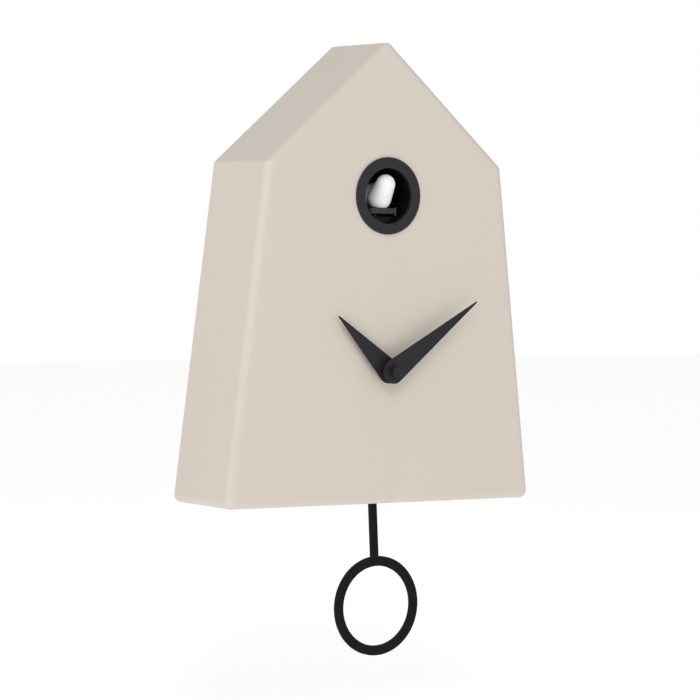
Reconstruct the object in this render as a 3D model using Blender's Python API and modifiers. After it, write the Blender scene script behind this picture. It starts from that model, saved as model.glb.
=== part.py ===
"""House-shaped cuckoo clock with flat dagger hands, a bird in a round window and a ring pendulum.

Units are metres and +Z is up. The origin is the top of the keyhole in the wall plane, the front
faces -Y. Every piece hangs from an empty, "face", whose own axes are those of a front view:
x to the right, y up from the underside of the body, z out from the front face.
"""

import math

import bmesh
import bpy

MM = 0.001
GAP = 0.3 * MM  # between pieces that touch

# House body
BODY_HEIGHT = 340 * MM
SHOULDER_HEIGHT = 249.5 * MM
SHOULDER_WIDTH = 208.5 * MM
BASE_WIDTH = 270.6 * MM
BODY_DEPTH = 74.5 * MM
WALL = 2.5 * MM
SIDE_EDGE_RADIUS = 6 * MM
ROOF_EDGE_RADIUS = 5 * MM
BASE_EDGE_RADIUS = 5 * MM
BASE_CORNER_RADIUS = 6 * MM
SHOULDER_CORNER_RADIUS = 4 * MM
RIDGE_CORNER_RADIUS = 4 * MM
HANGER_DROP = 50 * MM  # ridge to the keyhole
HANGER_HEIGHT = BODY_HEIGHT - HANGER_DROP

# Back panel and its screws
PANEL_THICKNESS = 2.5 * MM
PANEL_RECESS = 2 * MM
PANEL_REAR = -(BODY_DEPTH - PANEL_RECESS)
PANEL_INNER = PANEL_REAR + PANEL_THICKNESS
PANEL_CORNER_RADIUS = 5 * MM
NAIL_SLOT_WIDTH = 4.6 * MM
NAIL_HEAD_DIAMETER = 9.5 * MM
NAIL_SLOT_LENGTH = 9 * MM
ACCESS_WIDTH = 76 * MM
ACCESS_BASE = 46 * MM
ACCESS_TOP = 138 * MM
ACCESS_CORNER_RADIUS = 8 * MM
BOSS_RADIUS = 4.5 * MM
BOSS_EDGE_DISTANCE = 14 * MM
BOSS_HEIGHTS = (20 * MM, 232 * MM)
SCREW_RADIUS = 1.25 * MM
SCREW_LENGTH = 9 * MM
SCREW_HEAD_RADIUS = 2.9 * MM
SCREW_HEAD_HEIGHT = 1.5 * MM
SCREW_SLOT_WIDTH = 0.8 * MM
SCREW_SLOT_DEPTH = 0.6 * MM

# Window and bird
WINDOW_HEIGHT = 226.5 * MM
WINDOW_RADIUS = 20.4 * MM
BEZEL_RADIUS = 28.3 * MM
BEZEL_THICKNESS = 1.4 * MM
TUBE_WALL = 1.8 * MM
SILL_FRONT = -11 * MM
SILL_THICKNESS = 2.2 * MM
SILL_CLEARANCE = 2.2 * MM  # under the perch
BIRD_SCALE = WINDOW_RADIUS / (20.4 * MM)  # the bird and its perch follow the window's size
PERCH_DROP = 9 * MM * BIRD_SCALE  # window centre to the top of the perch
PERCH_THICKNESS = 4 * MM
PERCH_WIDTH = 23.4 * MM * BIRD_SCALE
PERCH_INSET = 6 * MM  # behind the face
BIRD_TRAVEL = 22 * MM
BIRD_HEAD_RADIUS = 7.2 * MM * BIRD_SCALE
BIRD_CHEST_RADIUS = 9 * MM * BIRD_SCALE
BIRD_HEAD_RISE = 17.6 * MM * BIRD_SCALE  # perch to the middle of the head
BIRD_CHEST_RISE = 7.5 * MM * BIRD_SCALE
BIRD_HEAD_OUT = -3.3 * MM
BIRD_CHEST_OUT = -11 * MM
BIRD_BACK_OUT = -20 * MM
BIRD_BACK_RISE = 9.5 * MM * BIRD_SCALE
BIRD_BACK_RADIUS = 9 * MM * BIRD_SCALE
BIRD_TAIL_OUT = -27 * MM
BIRD_TAIL_RISE = 13 * MM * BIRD_SCALE
BIRD_TAIL_RADIUS = 4.4 * MM * BIRD_SCALE

# Cuckoo drive: rack under the carriage, compound gear, small motor
RACK_MODULE = 0.6 * MM
RACK_PINION_TEETH = 12
DRIVE_MODULE = 0.5 * MM
DRIVE_GEAR_TEETH = 40
MOTOR_PINION_TEETH = 10
RACK_SPARE = 4 * MM  # teeth past the pinion at each end of the travel
RACK_WIDTH = 6 * MM
RAIL_WIDTH = 10 * MM
RAIL_THICKNESS = 2.4 * MM
LEDGE = 2 * MM
CHEEK = 2 * MM
CHEEK_CLEARANCE = 1 * MM
MOTOR_RADIUS = 7.5 * MM
MOTOR_LENGTH = 25 * MM
MOTOR_SHAFT_RADIUS = 1 * MM
CHASSIS_FLOOR_DROP = 22 * MM  # pinion axis to the top of the chassis floor
CHASSIS_WIDTH = 52 * MM
DRIVE_PIN_RADIUS = 1 * MM
DRIVE_GEAR_THICKNESS = 2.5 * MM

# Hands and the shafts that carry them
HAND_HEIGHT = 98 * MM  # hand axis above the underside
HAND_THICKNESS = 1.2 * MM
HAND_HUB_RADIUS = 9 * MM
MINUTE_LENGTH = 90.2 * MM
HOUR_LENGTH = 60.8 * MM
MINUTE_ANGLE = math.radians(55.4)
HOUR_ANGLE = math.radians(-48.1)
HAND_TIP_WIDTH = 0.8 * MM
HOUR_HAND_OUT = 4.7 * MM
MINUTE_HAND_OUT = 10.8 * MM
CAP_RADIUS = 4 * MM
CAP_HEIGHT = 5 * MM
ARBOR_RADIUS = 1.5 * MM
HOUR_TUBE_RADIUS = 2.6 * MM
BUSH_RADIUS = 5 * MM
BUSH_BORE_RADIUS = 3 * MM
BUSH_PROUD = 4.2 * MM
NUT_ACROSS_FLATS = 14 * MM
NUT_HEIGHT = 2.5 * MM
NUT_TURN = math.radians(45)  # one corner's direction

# Quartz movement
WASHER_THICKNESS = 1 * MM
WASHER_RADIUS = 9 * MM
CASE_WIDTH = 57 * MM
CASE_ABOVE = 30 * MM
CASE_BELOW = 46 * MM
CASE_DEPTH = 16 * MM
CASE_WALL = 1.6 * MM
CASE_SPLIT = 7.9 * MM  # front of the case to the seam
CASE_CORNER_RADIUS = 4 * MM
CELL_RADIUS = 7.1 * MM
CELL_LENGTH = 50.5 * MM
CELL_CLEARANCE = 0.6 * MM
MOTION_MODULE = 0.5 * MM
CENTRE_PINION_TEETH = 10
MOTION_WHEEL_TEETH = 30
MOTION_PINION_TEETH = 8
HOUR_WHEEL_TEETH = 32
SETTING_PINION_TEETH = 10
TRAIN_MODULE = 0.4 * MM
CENTRE_WHEEL_TEETH = 48
TRAIN_PINION_TEETH = 6
THIRD_WHEEL_TEETH = 45
SECOND_WHEEL_TEETH = 30
MOTION_BEARING = math.radians(-60)  # direction from the hand axis to the motion wheel
SETTING_BEARING = math.radians(-20)
KNOB_RADIUS = 5.4 * MM
KNOB_LENGTH = 7 * MM
WHEEL_THICKNESS = 1.2 * MM

# Pendulum
PIVOT_RISE = 20 * MM  # hand axis to the pendulum's pivot
PENDULUM_SWING = math.radians(3.55)  # stored a little to the right of plumb
RING_DROP = 196.9 * MM  # pivot to the middle of the ring
RING_RADIUS = 37.2 * MM
RING_HOLE_RADIUS = 29.8 * MM
ROD_WIDTH = 6.8 * MM
SHEET_THICKNESS = 2 * MM
HOOK_DROP = 54 * MM
HOOK_RADIUS = 1.5 * MM
PIVOT_PIN_RADIUS = 1.2 * MM
SLOT_LENGTH = 46 * MM
SLOT_WIDTH = 9 * MM

# Battery box, speaker and controls on the back panel
BOX_X = 56 * MM
BOX_HEIGHT = 165 * MM
BOX_WALL = 1.5 * MM
DOOR_THICKNESS = 1.3 * MM
DOOR_OVERLAP = 2.5 * MM
SPEAKER_X = -58 * MM
SPEAKER_HEIGHT = 165 * MM
SPEAKER_RADIUS = 25 * MM
SPEAKER_DEPTH = 12 * MM
MAGNET_RADIUS = 11 * MM
MAGNET_HEIGHT = 6 * MM
GRILLE_SLOTS = 5
GRILLE_SLOT_WIDTH = 3 * MM
GRILLE_PITCH = 7 * MM
BOARD_X = 68 * MM
BOARD_HEIGHT = 112 * MM
BOARD_WIDTH = 48 * MM
BOARD_TALL = 30 * MM
BOARD_THICKNESS = 1.6 * MM
BOARD_STANDOFF = 5.2 * MM
SLIDER_X = BOARD_X - 16 * MM
SLIDER_TRAVEL = 3 * MM
BUTTON_X = BOARD_X + 8 * MM
BUTTON_RADIUS = 3.2 * MM
BUTTON_TRAVEL = 1.5 * MM
CONTROL_PROUD = 1.5 * MM  # controls stand out of the panel but stay off the wall
SENSOR_X = 62 * MM
SENSOR_OUT = -30 * MM
SENSOR_RADIUS = 2.5 * MM


def clear_scene():
    """Remove everything that the file starts with."""
    for obj in list(bpy.data.objects):
        bpy.data.objects.remove(obj, do_unlink=True)


def new_collection(name):
    """A collection of this name, linked to the scene."""
    collection = bpy.data.collections.new(name)
    bpy.context.scene.collection.children.link(collection)
    return collection


def make_material(name, colour, roughness, metallic=0.0):
    """A Principled material."""
    made = bpy.data.materials.new(name)
    made.use_nodes = True
    shader = made.node_tree.nodes["Principled BSDF"]
    shader.inputs["Base Color"].default_value = (*colour, 1.0)
    shader.inputs["Roughness"].default_value = roughness
    shader.inputs["Metallic"].default_value = metallic
    return made


clear_scene()
clock = new_collection("cuckoo_clock")
cutters = new_collection("cutters")

shell_plastic = make_material("shell_plastic", (0.68, 0.62, 0.55), 0.45)
black_plastic = make_material("black_plastic", (0.03, 0.03, 0.032), 0.5)
panel_plastic = make_material("panel_plastic", (0.035, 0.035, 0.036), 0.6)
white_plastic = make_material("white_plastic", (0.85, 0.85, 0.84), 0.4)
clear_plastic = make_material("clear_plastic", (0.8, 0.82, 0.84), 0.2)
gear_plastic = make_material("gear_plastic", (0.82, 0.8, 0.74), 0.45)
black_metal = make_material("black_metal", (0.02, 0.02, 0.022), 0.5)
brass = make_material("brass", (0.78, 0.55, 0.2), 0.3, 1.0)
steel = make_material("steel", (0.6, 0.6, 0.6), 0.35, 1.0)
copper = make_material("copper", (0.7, 0.33, 0.16), 0.35, 1.0)
rubber = make_material("rubber", (0.02, 0.02, 0.02), 0.8)
board_green = make_material("board_green", (0.03, 0.2, 0.08), 0.5)
cone_paper = make_material("cone_paper", (0.08, 0.08, 0.08), 0.9)
magnet_grey = make_material("magnet_grey", (0.12, 0.12, 0.13), 0.5)
cell_wrap = make_material("cell_wrap", (0.1, 0.25, 0.45), 0.35)


def new_empty(name, parent, location, rotation=(0, 0, 0)):
    """An empty that pieces hang from."""
    empty = bpy.data.objects.new(name, None)
    clock.objects.link(empty)
    empty.empty_display_size = 0.02
    empty.parent = parent
    empty.location = location
    empty.rotation_euler = rotation
    return empty


face = new_empty("face", None, (0, -BODY_DEPTH, -HANGER_HEIGHT), (math.radians(90), 0, 0))


def add_object(name, mesh, finish, location=(0, 0, 0), parent=None, rotation=(0, 0, 0)):
    """Put a mesh in the clock as an object of this name."""
    obj = bpy.data.objects.new(name, mesh)
    clock.objects.link(obj)
    obj.parent = parent or face
    obj.location = location
    obj.rotation_euler = rotation
    if finish:
        mesh.materials.append(finish)
    return obj


def face_outwards(work):
    """Turn every face out. It is done at 1000 times the size, where small faces aren't missed."""
    bmesh.ops.scale(work, verts=work.verts, vec=(1 / MM, 1 / MM, 1 / MM))
    bmesh.ops.recalc_face_normals(work, faces=work.faces)
    bmesh.ops.scale(work, verts=work.verts, vec=(MM, MM, MM))


def mesh_from(build, name):
    """A mesh holding what build puts in an empty bmesh."""
    work = bmesh.new()
    build(work)
    face_outwards(work)
    mesh = bpy.data.meshes.new(name)
    work.to_mesh(mesh)
    work.free()
    return mesh


def box(name, finish, low, high, **place):
    """A block between two corners, given in its parent's axes."""

    def build(work):
        bmesh.ops.create_cube(work, size=1)
        for vert in work.verts:
            for axis in range(3):
                middle = (low[axis] + high[axis]) / 2
                vert.co[axis] = middle + vert.co[axis] * (high[axis] - low[axis])

    return add_object(name, mesh_from(build, name), finish, **place)


def cylinder(name, finish, radius, low, high, sides=24, axis="Z", **place):
    """A round bar from low to high along one axis, about the object's origin."""

    def build(work):
        bmesh.ops.create_cone(
            work,
            cap_ends=True,
            segments=sides,
            radius1=radius,
            radius2=radius,
            depth=high - low,
        )
        for vert in work.verts:
            x, y, z = vert.co
            along = z + (low + high) / 2
            vert.co = {"X": (along, x, y), "Y": (y, along, x), "Z": (x, y, along)}[axis]

    obj = add_object(name, mesh_from(build, name), finish, **place)
    obj.data.shade_smooth()
    obj.data.set_sharp_from_angle(angle=math.radians(40))
    return obj


def turned(name, finish, profile, steps=32, closed=True, **place):
    """A profile of (radius, height) points, which runs down its outer side, turned about Z."""
    mesh = bpy.data.meshes.new(name)
    points = [(radius, 0, height) for radius, height in profile]
    edges = [(i, i + 1) for i in range(len(points) - 1)]
    if closed:
        edges.append((len(points) - 1, 0))
    mesh.from_pydata(points, edges, [])
    obj = add_object(name, mesh, finish, **place)
    screw = obj.modifiers.new("turn", "SCREW")
    screw.axis = "Z"
    screw.steps = steps
    screw.render_steps = steps
    screw.use_merge_vertices = True
    screw.merge_threshold = 0.00001
    screw.use_smooth_shade = False
    return obj


def plate(name, finish, outlines, low, high, **place):
    """A flat piece: closed outlines in the XY plane, filled between them, from low to high.

    The curve is drawn in millimetres, because a fill drops points that lie very close together.
    """
    curve = bpy.data.curves.new(name + "_outline", "CURVE")
    curve.dimensions = "2D"
    curve.fill_mode = "BOTH"
    curve.extrude = (high - low) / 2 / MM
    for outline in outlines:
        spline = curve.splines.new("POLY")
        spline.points.add(len(outline) - 1)
        for point, (x, y) in zip(spline.points, outline):
            point.co = (x / MM, y / MM, 0, 1)
        spline.use_cyclic_u = True
    drawn = bpy.data.objects.new(name + "_outline", curve)
    clock.objects.link(drawn)
    graph = bpy.context.evaluated_depsgraph_get()
    mesh = bpy.data.meshes.new_from_object(drawn.evaluated_get(graph))
    mesh.name = name
    work = bmesh.new()
    work.from_mesh(mesh)
    bmesh.ops.remove_doubles(work, verts=work.verts, dist=0.001)
    bmesh.ops.dissolve_limit(
        work, angle_limit=math.radians(0.5), verts=work.verts, edges=work.edges
    )
    bmesh.ops.scale(work, verts=work.verts, vec=(MM, MM, MM))
    bmesh.ops.translate(work, verts=work.verts, vec=(0, 0, (low + high) / 2))
    face_outwards(work)
    work.to_mesh(mesh)
    work.free()
    mesh.materials.clear()
    bpy.data.objects.remove(drawn, do_unlink=True)
    return add_object(name, mesh, finish, **place)


def combine(target, tool, operation, solver):
    """Cut or join one object with another, which then only helps."""
    clock.objects.unlink(tool)
    cutters.objects.link(tool)
    tool.hide_render = True
    tool.display_type = "WIRE"
    step = target.modifiers.new(tool.name, "BOOLEAN")
    step.operation = operation
    step.object = tool
    step.solver = solver


def cut(target, *tools, solver="EXACT"):
    """Take the tools' shapes out of the target."""
    for tool in tools:
        combine(target, tool, "DIFFERENCE", solver)


def join(target, *tools, solver="EXACT"):
    """Add the tools' shapes to the target."""
    for tool in tools:
        combine(target, tool, "UNION", solver)


def circle(radius, x=0.0, y=0.0, sides=24, start=0.0):
    """Points round a circle."""
    turns = [start + 2 * math.pi * i / sides for i in range(sides)]
    return [(x + radius * math.cos(t), y + radius * math.sin(t)) for t in turns]


def rounded(corners, radii, steps=4):
    """A polygon, counter-clockwise, with each corner rounded to its own radius."""
    points = []
    count = len(corners)
    for i, (x, y) in enumerate(corners):
        before = corners[i - 1]
        after = corners[(i + 1) % count]
        into = math.atan2(y - before[1], x - before[0])
        away = math.atan2(after[1] - y, after[0] - x)
        turn = (away - into) % (2 * math.pi)
        back = radii[i] * math.tan(turn / 2)
        start = (x - back * math.cos(into), y - back * math.sin(into))
        centre_x = start[0] - radii[i] * math.sin(into)
        centre_y = start[1] + radii[i] * math.cos(into)
        for k in range(steps + 1):
            heading = into + turn * k / steps
            points.append(
                (
                    centre_x + radii[i] * math.sin(heading),
                    centre_y - radii[i] * math.cos(heading),
                )
            )
    return points


def rectangle(x_low, x_high, y_low, y_high, radius, steps=3):
    """A rectangle with rounded corners."""
    corners = [(x_low, y_low), (x_high, y_low), (x_high, y_high), (x_low, y_high)]
    return rounded(corners, [radius] * 4, steps)


def slot(x, y, length, width, sides=6):
    """An upright slot with round ends, about its middle."""
    half = (length - width) / 2
    radius = width / 2
    upper = [math.pi * i / sides for i in range(sides + 1)]
    points = [(x + radius * math.cos(t), y + half + radius * math.sin(t)) for t in upper]
    points += [(x - radius * math.cos(t), y - half - radius * math.sin(t)) for t in upper]
    return points


def house_corners(inset=0.0):
    """The five corners of the house's front view, moved in from every wall by the same distance."""
    sharp = [
        (-BASE_WIDTH / 2, 0),
        (BASE_WIDTH / 2, 0),
        (SHOULDER_WIDTH / 2, SHOULDER_HEIGHT),
        (0, BODY_HEIGHT),
        (-SHOULDER_WIDTH / 2, SHOULDER_HEIGHT),
    ]
    moved = []
    for i, (x, y) in enumerate(sharp):
        before = sharp[i - 1]
        after = sharp[(i + 1) % len(sharp)]
        into = math.atan2(y - before[1], x - before[0])
        away = math.atan2(after[1] - y, after[0] - x)
        turn = (away - into) % (2 * math.pi)
        middle = into + turn / 2
        reach = inset / math.cos(turn / 2)
        moved.append((x - reach * math.sin(middle), y + reach * math.cos(middle)))
    return moved


def half_width(height):
    """Half the body's width at a height below the shoulders."""
    lean = (BASE_WIDTH - SHOULDER_WIDTH) / 2 / SHOULDER_HEIGHT
    return BASE_WIDTH / 2 - lean * height


def tooth_outline(teeth, module, phase=0.0):
    """A gear's outline: straight-sided teeth, the first one centred on the phase angle."""
    pitch_radius = teeth * module / 2
    root = pitch_radius - 1.15 * module
    tip = pitch_radius + 0.8 * module
    pitch = 2 * math.pi / teeth
    root_half = 0.27 * pitch
    tip_half = 0.11 * pitch
    points = []
    for i in range(teeth):
        middle = phase + i * pitch
        for radius, angle in (
            (root, middle - root_half),
            (tip, middle - tip_half),
            (tip, middle + tip_half),
            (root, middle + root_half),
        ):
            points.append((radius * math.cos(angle), radius * math.sin(angle)))
    return points


def mesh_phase(driver_teeth, driver_phase, driven_teeth, bearing):
    """The phase that puts a gear's gap where the other gear, at this bearing, has a tooth."""
    driver_pitch = 2 * math.pi / driver_teeth
    driven_pitch = 2 * math.pi / driven_teeth
    past_tooth = ((bearing - driver_phase) / driver_pitch) % 1
    facing = bearing + math.pi
    return facing + (0.5 + past_tooth) * driven_pitch


# ---------------------------------------------------------------- house shell


def fillet_setback(radius, turn):
    """How far a fillet of this radius starts from the corner of two faces."""
    return radius * math.tan(turn / 2)


def build_house_shell():
    """The moulded body: an open surface, its edges rounded each to its own radius, given a wall."""
    corners = house_corners()
    widest = max(SIDE_EDGE_RADIUS, ROOF_EDGE_RADIUS, BASE_EDGE_RADIUS, BASE_CORNER_RADIUS * 1.2)
    work = bmesh.new()
    rear = [work.verts.new((x, y, -BODY_DEPTH)) for x, y in corners]
    front = [work.verts.new((x, y, 0)) for x, y in corners]
    work.faces.new(front)
    side_radii = [
        BASE_EDGE_RADIUS,
        SIDE_EDGE_RADIUS,
        ROOF_EDGE_RADIUS,
        ROOF_EDGE_RADIUS,
        SIDE_EDGE_RADIUS,
    ]
    corner_radii = [
        BASE_CORNER_RADIUS,
        BASE_CORNER_RADIUS,
        SHOULDER_CORNER_RADIUS,
        RIDGE_CORNER_RADIUS,
        SHOULDER_CORNER_RADIUS,
    ]
    weights = work.edges.layers.float.new("bevel_weight_edge")
    for i in range(5):
        after = (i + 1) % 5
        work.faces.new((rear[i], rear[after], front[after], front[i]))
    for i in range(5):
        after = (i + 1) % 5
        work.edges.get((front[i], front[after]))[weights] = side_radii[i] / widest
        x, y = corners[i]
        into = math.atan2(y - corners[i - 1][1], x - corners[i - 1][0])
        away = math.atan2(corners[after][1] - y, corners[after][0] - x)
        turn = (away - into) % (2 * math.pi)
        setback = fillet_setback(corner_radii[i], turn)
        work.edges.get((rear[i], front[i]))[weights] = setback / widest
    mesh = bpy.data.meshes.new("house_shell")
    work.to_mesh(mesh)
    work.free()
    shell = add_object("house_shell", mesh, shell_plastic)
    soften = shell.modifiers.new("edges", "BEVEL")
    soften.limit_method = "WEIGHT"
    soften.width = widest
    soften.segments = 5
    soften.use_clamp_overlap = False
    wall = shell.modifiers.new("wall", "SOLIDIFY")
    wall.thickness = WALL
    wall.offset = -1
    wall.use_even_offset = True
    return shell


def boss_places():
    """Where the four screws of the back panel stand: x and height."""
    places = []
    for height in BOSS_HEIGHTS:
        across = half_width(height) - BOSS_EDGE_DISTANCE
        places += [(-across, height), (across, height)]
    return places


house_shell = build_house_shell()
SCREW_PILOT = SCREW_RADIUS + GAP
for number, (boss_x, boss_height) in enumerate(boss_places(), 1):
    boss_place = {"location": (boss_x, boss_height, 0)}
    boss_end = PANEL_INNER + GAP
    join(
        house_shell,
        cylinder(f"boss_{number}", None, BOSS_RADIUS, boss_end, -WALL / 2, 16, **boss_place),
    )
    cut(
        house_shell,
        cylinder(
            f"boss_hole_{number}",
            None,
            SCREW_PILOT,
            boss_end - WALL,
            boss_end + SCREW_LENGTH + WALL,
            12,
            **boss_place,
        ),
    )

TUBE_RADIUS = WINDOW_RADIUS + TUBE_WALL
cut(
    house_shell,
    cylinder(
        "window_hole",
        None,
        TUBE_RADIUS + GAP,
        -WALL * 4,
        WALL * 4,
        40,
        location=(0, WINDOW_HEIGHT, 0),
    ),
    cylinder(
        "shaft_hole",
        None,
        BUSH_RADIUS + GAP,
        -WALL * 4,
        WALL * 4,
        24,
        location=(0, HAND_HEIGHT, 0),
    ),
)

# ---------------------------------------------------------------- heights inside the movement

CASE_FRONT = -(WALL + WASHER_THICKNESS + 2 * GAP)
CASE_REAR = CASE_FRONT - CASE_DEPTH
CASE_SEAM = CASE_FRONT - CASE_SPLIT
HANGER_OUT = CASE_REAR - 1.5 * MM  # front of the pendulum's lever
LEVER_REAR = HANGER_OUT - SHEET_THICKNESS
PENDULUM_FRONT = LEVER_REAR - GAP
PENDULUM_REAR = PENDULUM_FRONT - SHEET_THICKNESS
PENDULUM_MIDDLE = (PENDULUM_FRONT + PENDULUM_REAR) / 2
PIVOT_HEIGHT = HAND_HEIGHT + PIVOT_RISE

cut(
    house_shell,
    box(
        "pendulum_slot",
        None,
        (-SLOT_LENGTH / 2, -WALL, PENDULUM_MIDDLE - SLOT_WIDTH / 2),
        (SLOT_LENGTH / 2, WALL * 2, PENDULUM_MIDDLE + SLOT_WIDTH / 2),
    ),
    cylinder(
        "sensor_hole",
        None,
        SENSOR_RADIUS + GAP,
        -WALL,
        WALL * 2,
        16,
        "Y",
        location=(SENSOR_X, 0, SENSOR_OUT),
    ),
)

# ---------------------------------------------------------------- back panel

CELL_PITCH = 2 * (CELL_RADIUS + CELL_CLEARANCE)
BAY_HALF_LENGTH = CELL_LENGTH / 2 + 3 * MM
BAY_HALF_HEIGHT = CELL_PITCH
BAY_DEPTH = 2 * (CELL_RADIUS + CELL_CLEARANCE)


def keyhole_outline():
    """A round hole for the nail's head with a slot up to the origin, where the nail's neck rests."""
    neck = NAIL_SLOT_WIDTH / 2
    head = NAIL_HEAD_DIAMETER / 2
    middle = HANGER_HEIGHT - NAIL_SLOT_LENGTH
    spread = math.asin(neck / head)
    points = []
    for i in range(17):
        angle = math.pi / 2 + spread + (2 * math.pi - 2 * spread) * i / 16
        points.append((head * math.cos(angle), middle + head * math.sin(angle)))
    for i in range(9):
        angle = math.pi * i / 8
        points.append((neck * math.cos(angle), HANGER_HEIGHT + neck * math.sin(angle)))
    return points


def grille_outlines():
    """Upright slots across the speaker, each as long as the cone behind it."""
    outlines = []
    reach = SPEAKER_RADIUS - 6 * MM
    for i in range(GRILLE_SLOTS):
        across = (i - (GRILLE_SLOTS - 1) / 2) * GRILLE_PITCH
        length = 2 * math.sqrt(reach**2 - across**2)
        outlines.append(
            slot(SPEAKER_X + across, SPEAKER_HEIGHT, length, GRILLE_SLOT_WIDTH, 4)
        )
    return outlines


def panel_openings():
    """The outlines of the back panel's openings."""
    access = rectangle(
        -ACCESS_WIDTH / 2,
        ACCESS_WIDTH / 2,
        ACCESS_BASE,
        ACCESS_TOP,
        ACCESS_CORNER_RADIUS,
    )
    bay = rectangle(
        BOX_X - BAY_HALF_LENGTH,
        BOX_X + BAY_HALF_LENGTH,
        BOX_HEIGHT - BAY_HALF_HEIGHT,
        BOX_HEIGHT + BAY_HALF_HEIGHT,
        1 * MM,
        2,
    )
    slider_reach = SLIDER_TRAVEL + 2.5 * MM
    slider_slot = rectangle(
        SLIDER_X - slider_reach,
        SLIDER_X + slider_reach,
        BOARD_HEIGHT - 2 * MM,
        BOARD_HEIGHT + 2 * MM,
        0.5 * MM,
        2,
    )
    screw_holes = [circle(SCREW_PILOT, x, y, 12) for x, y in boss_places()]
    button_hole = circle(BUTTON_RADIUS + GAP, BUTTON_X, BOARD_HEIGHT, 16)
    holes = [access, bay, slider_slot, button_hole, keyhole_outline()]
    return holes + screw_holes + grille_outlines()


panel_edge = rounded(house_corners(WALL + 2 * GAP), [PANEL_CORNER_RADIUS] * 5)
back_panel = plate("back_panel", panel_plastic, [panel_edge], PANEL_REAR, PANEL_INNER)
cut(
    back_panel,
    plate(
        "panel_openings",
        None,
        panel_openings(),
        PANEL_REAR - PANEL_THICKNESS,
        PANEL_INNER + PANEL_THICKNESS,
    ),
)


def screw_mesh(name, screw_place, head_out):
    """A pan-head screw whose tip points out of the front: head_out is the underside of its head."""
    screw = cylinder(
        name,
        steel,
        SCREW_HEAD_RADIUS,
        head_out - SCREW_HEAD_HEIGHT,
        head_out,
        16,
        **screw_place,
    )
    join(
        screw,
        cylinder(
            name + "_shank",
            None,
            SCREW_RADIUS,
            head_out - SCREW_SLOT_DEPTH / 2,
            head_out + SCREW_LENGTH,
            10,
            **screw_place,
        ),
    )
    reach = SCREW_HEAD_RADIUS * 0.6
    for bar, turn in (("level", 0), ("upright", math.pi / 2)):
        cut(
            screw,
            box(
                f"{name}_recess_{bar}",
                None,
                (-reach, -SCREW_SLOT_WIDTH / 2, head_out - SCREW_HEAD_HEIGHT - SCREW_SLOT_DEPTH),
                (reach, SCREW_SLOT_WIDTH / 2, head_out - SCREW_HEAD_HEIGHT + SCREW_SLOT_DEPTH),
                rotation=(0, 0, turn),
                **screw_place,
            ),
        )
    return screw


for number, (boss_x, boss_height) in enumerate(boss_places(), 1):
    boss_place = {"location": (boss_x, boss_height, 0)}
    screw_mesh(f"panel_screw_{number}", boss_place, PANEL_REAR - GAP)

# ---------------------------------------------------------------- battery box and door

BOX_REAR = PANEL_INNER + GAP
BOX_FRONT = BOX_REAR + BAY_DEPTH + BOX_WALL
battery_box = box(
    "battery_box",
    black_plastic,
    (-BAY_HALF_LENGTH - BOX_WALL, -BAY_HALF_HEIGHT - BOX_WALL, BOX_REAR),
    (BAY_HALF_LENGTH + BOX_WALL, BAY_HALF_HEIGHT + BOX_WALL, BOX_FRONT),
    location=(BOX_X, BOX_HEIGHT, 0),
)
cut(
    battery_box,
    box(
        "battery_bay",
        None,
        (-BAY_HALF_LENGTH, -BAY_HALF_HEIGHT, BOX_REAR - BOX_WALL),
        (BAY_HALF_LENGTH, BAY_HALF_HEIGHT, BOX_FRONT - BOX_WALL),
        location=(BOX_X, BOX_HEIGHT, 0),
    ),
)
battery_door = box(
    "battery_door",
    black_plastic,
    (
        -BAY_HALF_LENGTH - DOOR_OVERLAP,
        -BAY_HALF_HEIGHT - DOOR_OVERLAP,
        PANEL_REAR - GAP - DOOR_THICKNESS,
    ),
    (BAY_HALF_LENGTH + DOOR_OVERLAP, BAY_HALF_HEIGHT + DOOR_OVERLAP, PANEL_REAR - GAP),
    location=(BOX_X, BOX_HEIGHT, 0),
)
for number in range(4):
    groove_x = -BAY_HALF_LENGTH + (2 + number * 2.2) * MM
    cut(
        battery_door,
        box(
            f"door_grip_{number + 1}",
            None,
            (groove_x, -8 * MM, PANEL_REAR - GAP - DOOR_THICKNESS * 1.5),
            (groove_x + 1.1 * MM, 8 * MM, PANEL_REAR - GAP - DOOR_THICKNESS / 2),
            location=(BOX_X, BOX_HEIGHT, 0),
        ),
    )


def battery(name, location, flip=False):
    """A cylindrical cell along X with its positive nub at one end."""
    sign = -1 if flip else 1
    body_low, body_high = sorted((-sign * CELL_LENGTH / 2, sign * (CELL_LENGTH / 2 - 1.2 * MM)))
    nub_low, nub_high = sorted((sign * (CELL_LENGTH / 2 - 2 * MM), sign * CELL_LENGTH / 2))
    cell = cylinder(
        name, cell_wrap, CELL_RADIUS, body_low, body_high, 20, "X", location=location
    )
    nub = cylinder(
        name + "_nub", None, 2.6 * MM, nub_low, nub_high, 12, "X", location=location
    )
    join(cell, nub)
    return cell


CELL_OUT = BOX_REAR + CELL_RADIUS + CELL_CLEARANCE
for number, side in enumerate((-1, 1), 1):
    battery(
        f"battery_cell_{number}",
        (BOX_X, BOX_HEIGHT + side * CELL_PITCH / 2, CELL_OUT),
        side > 0,
    )


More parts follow.
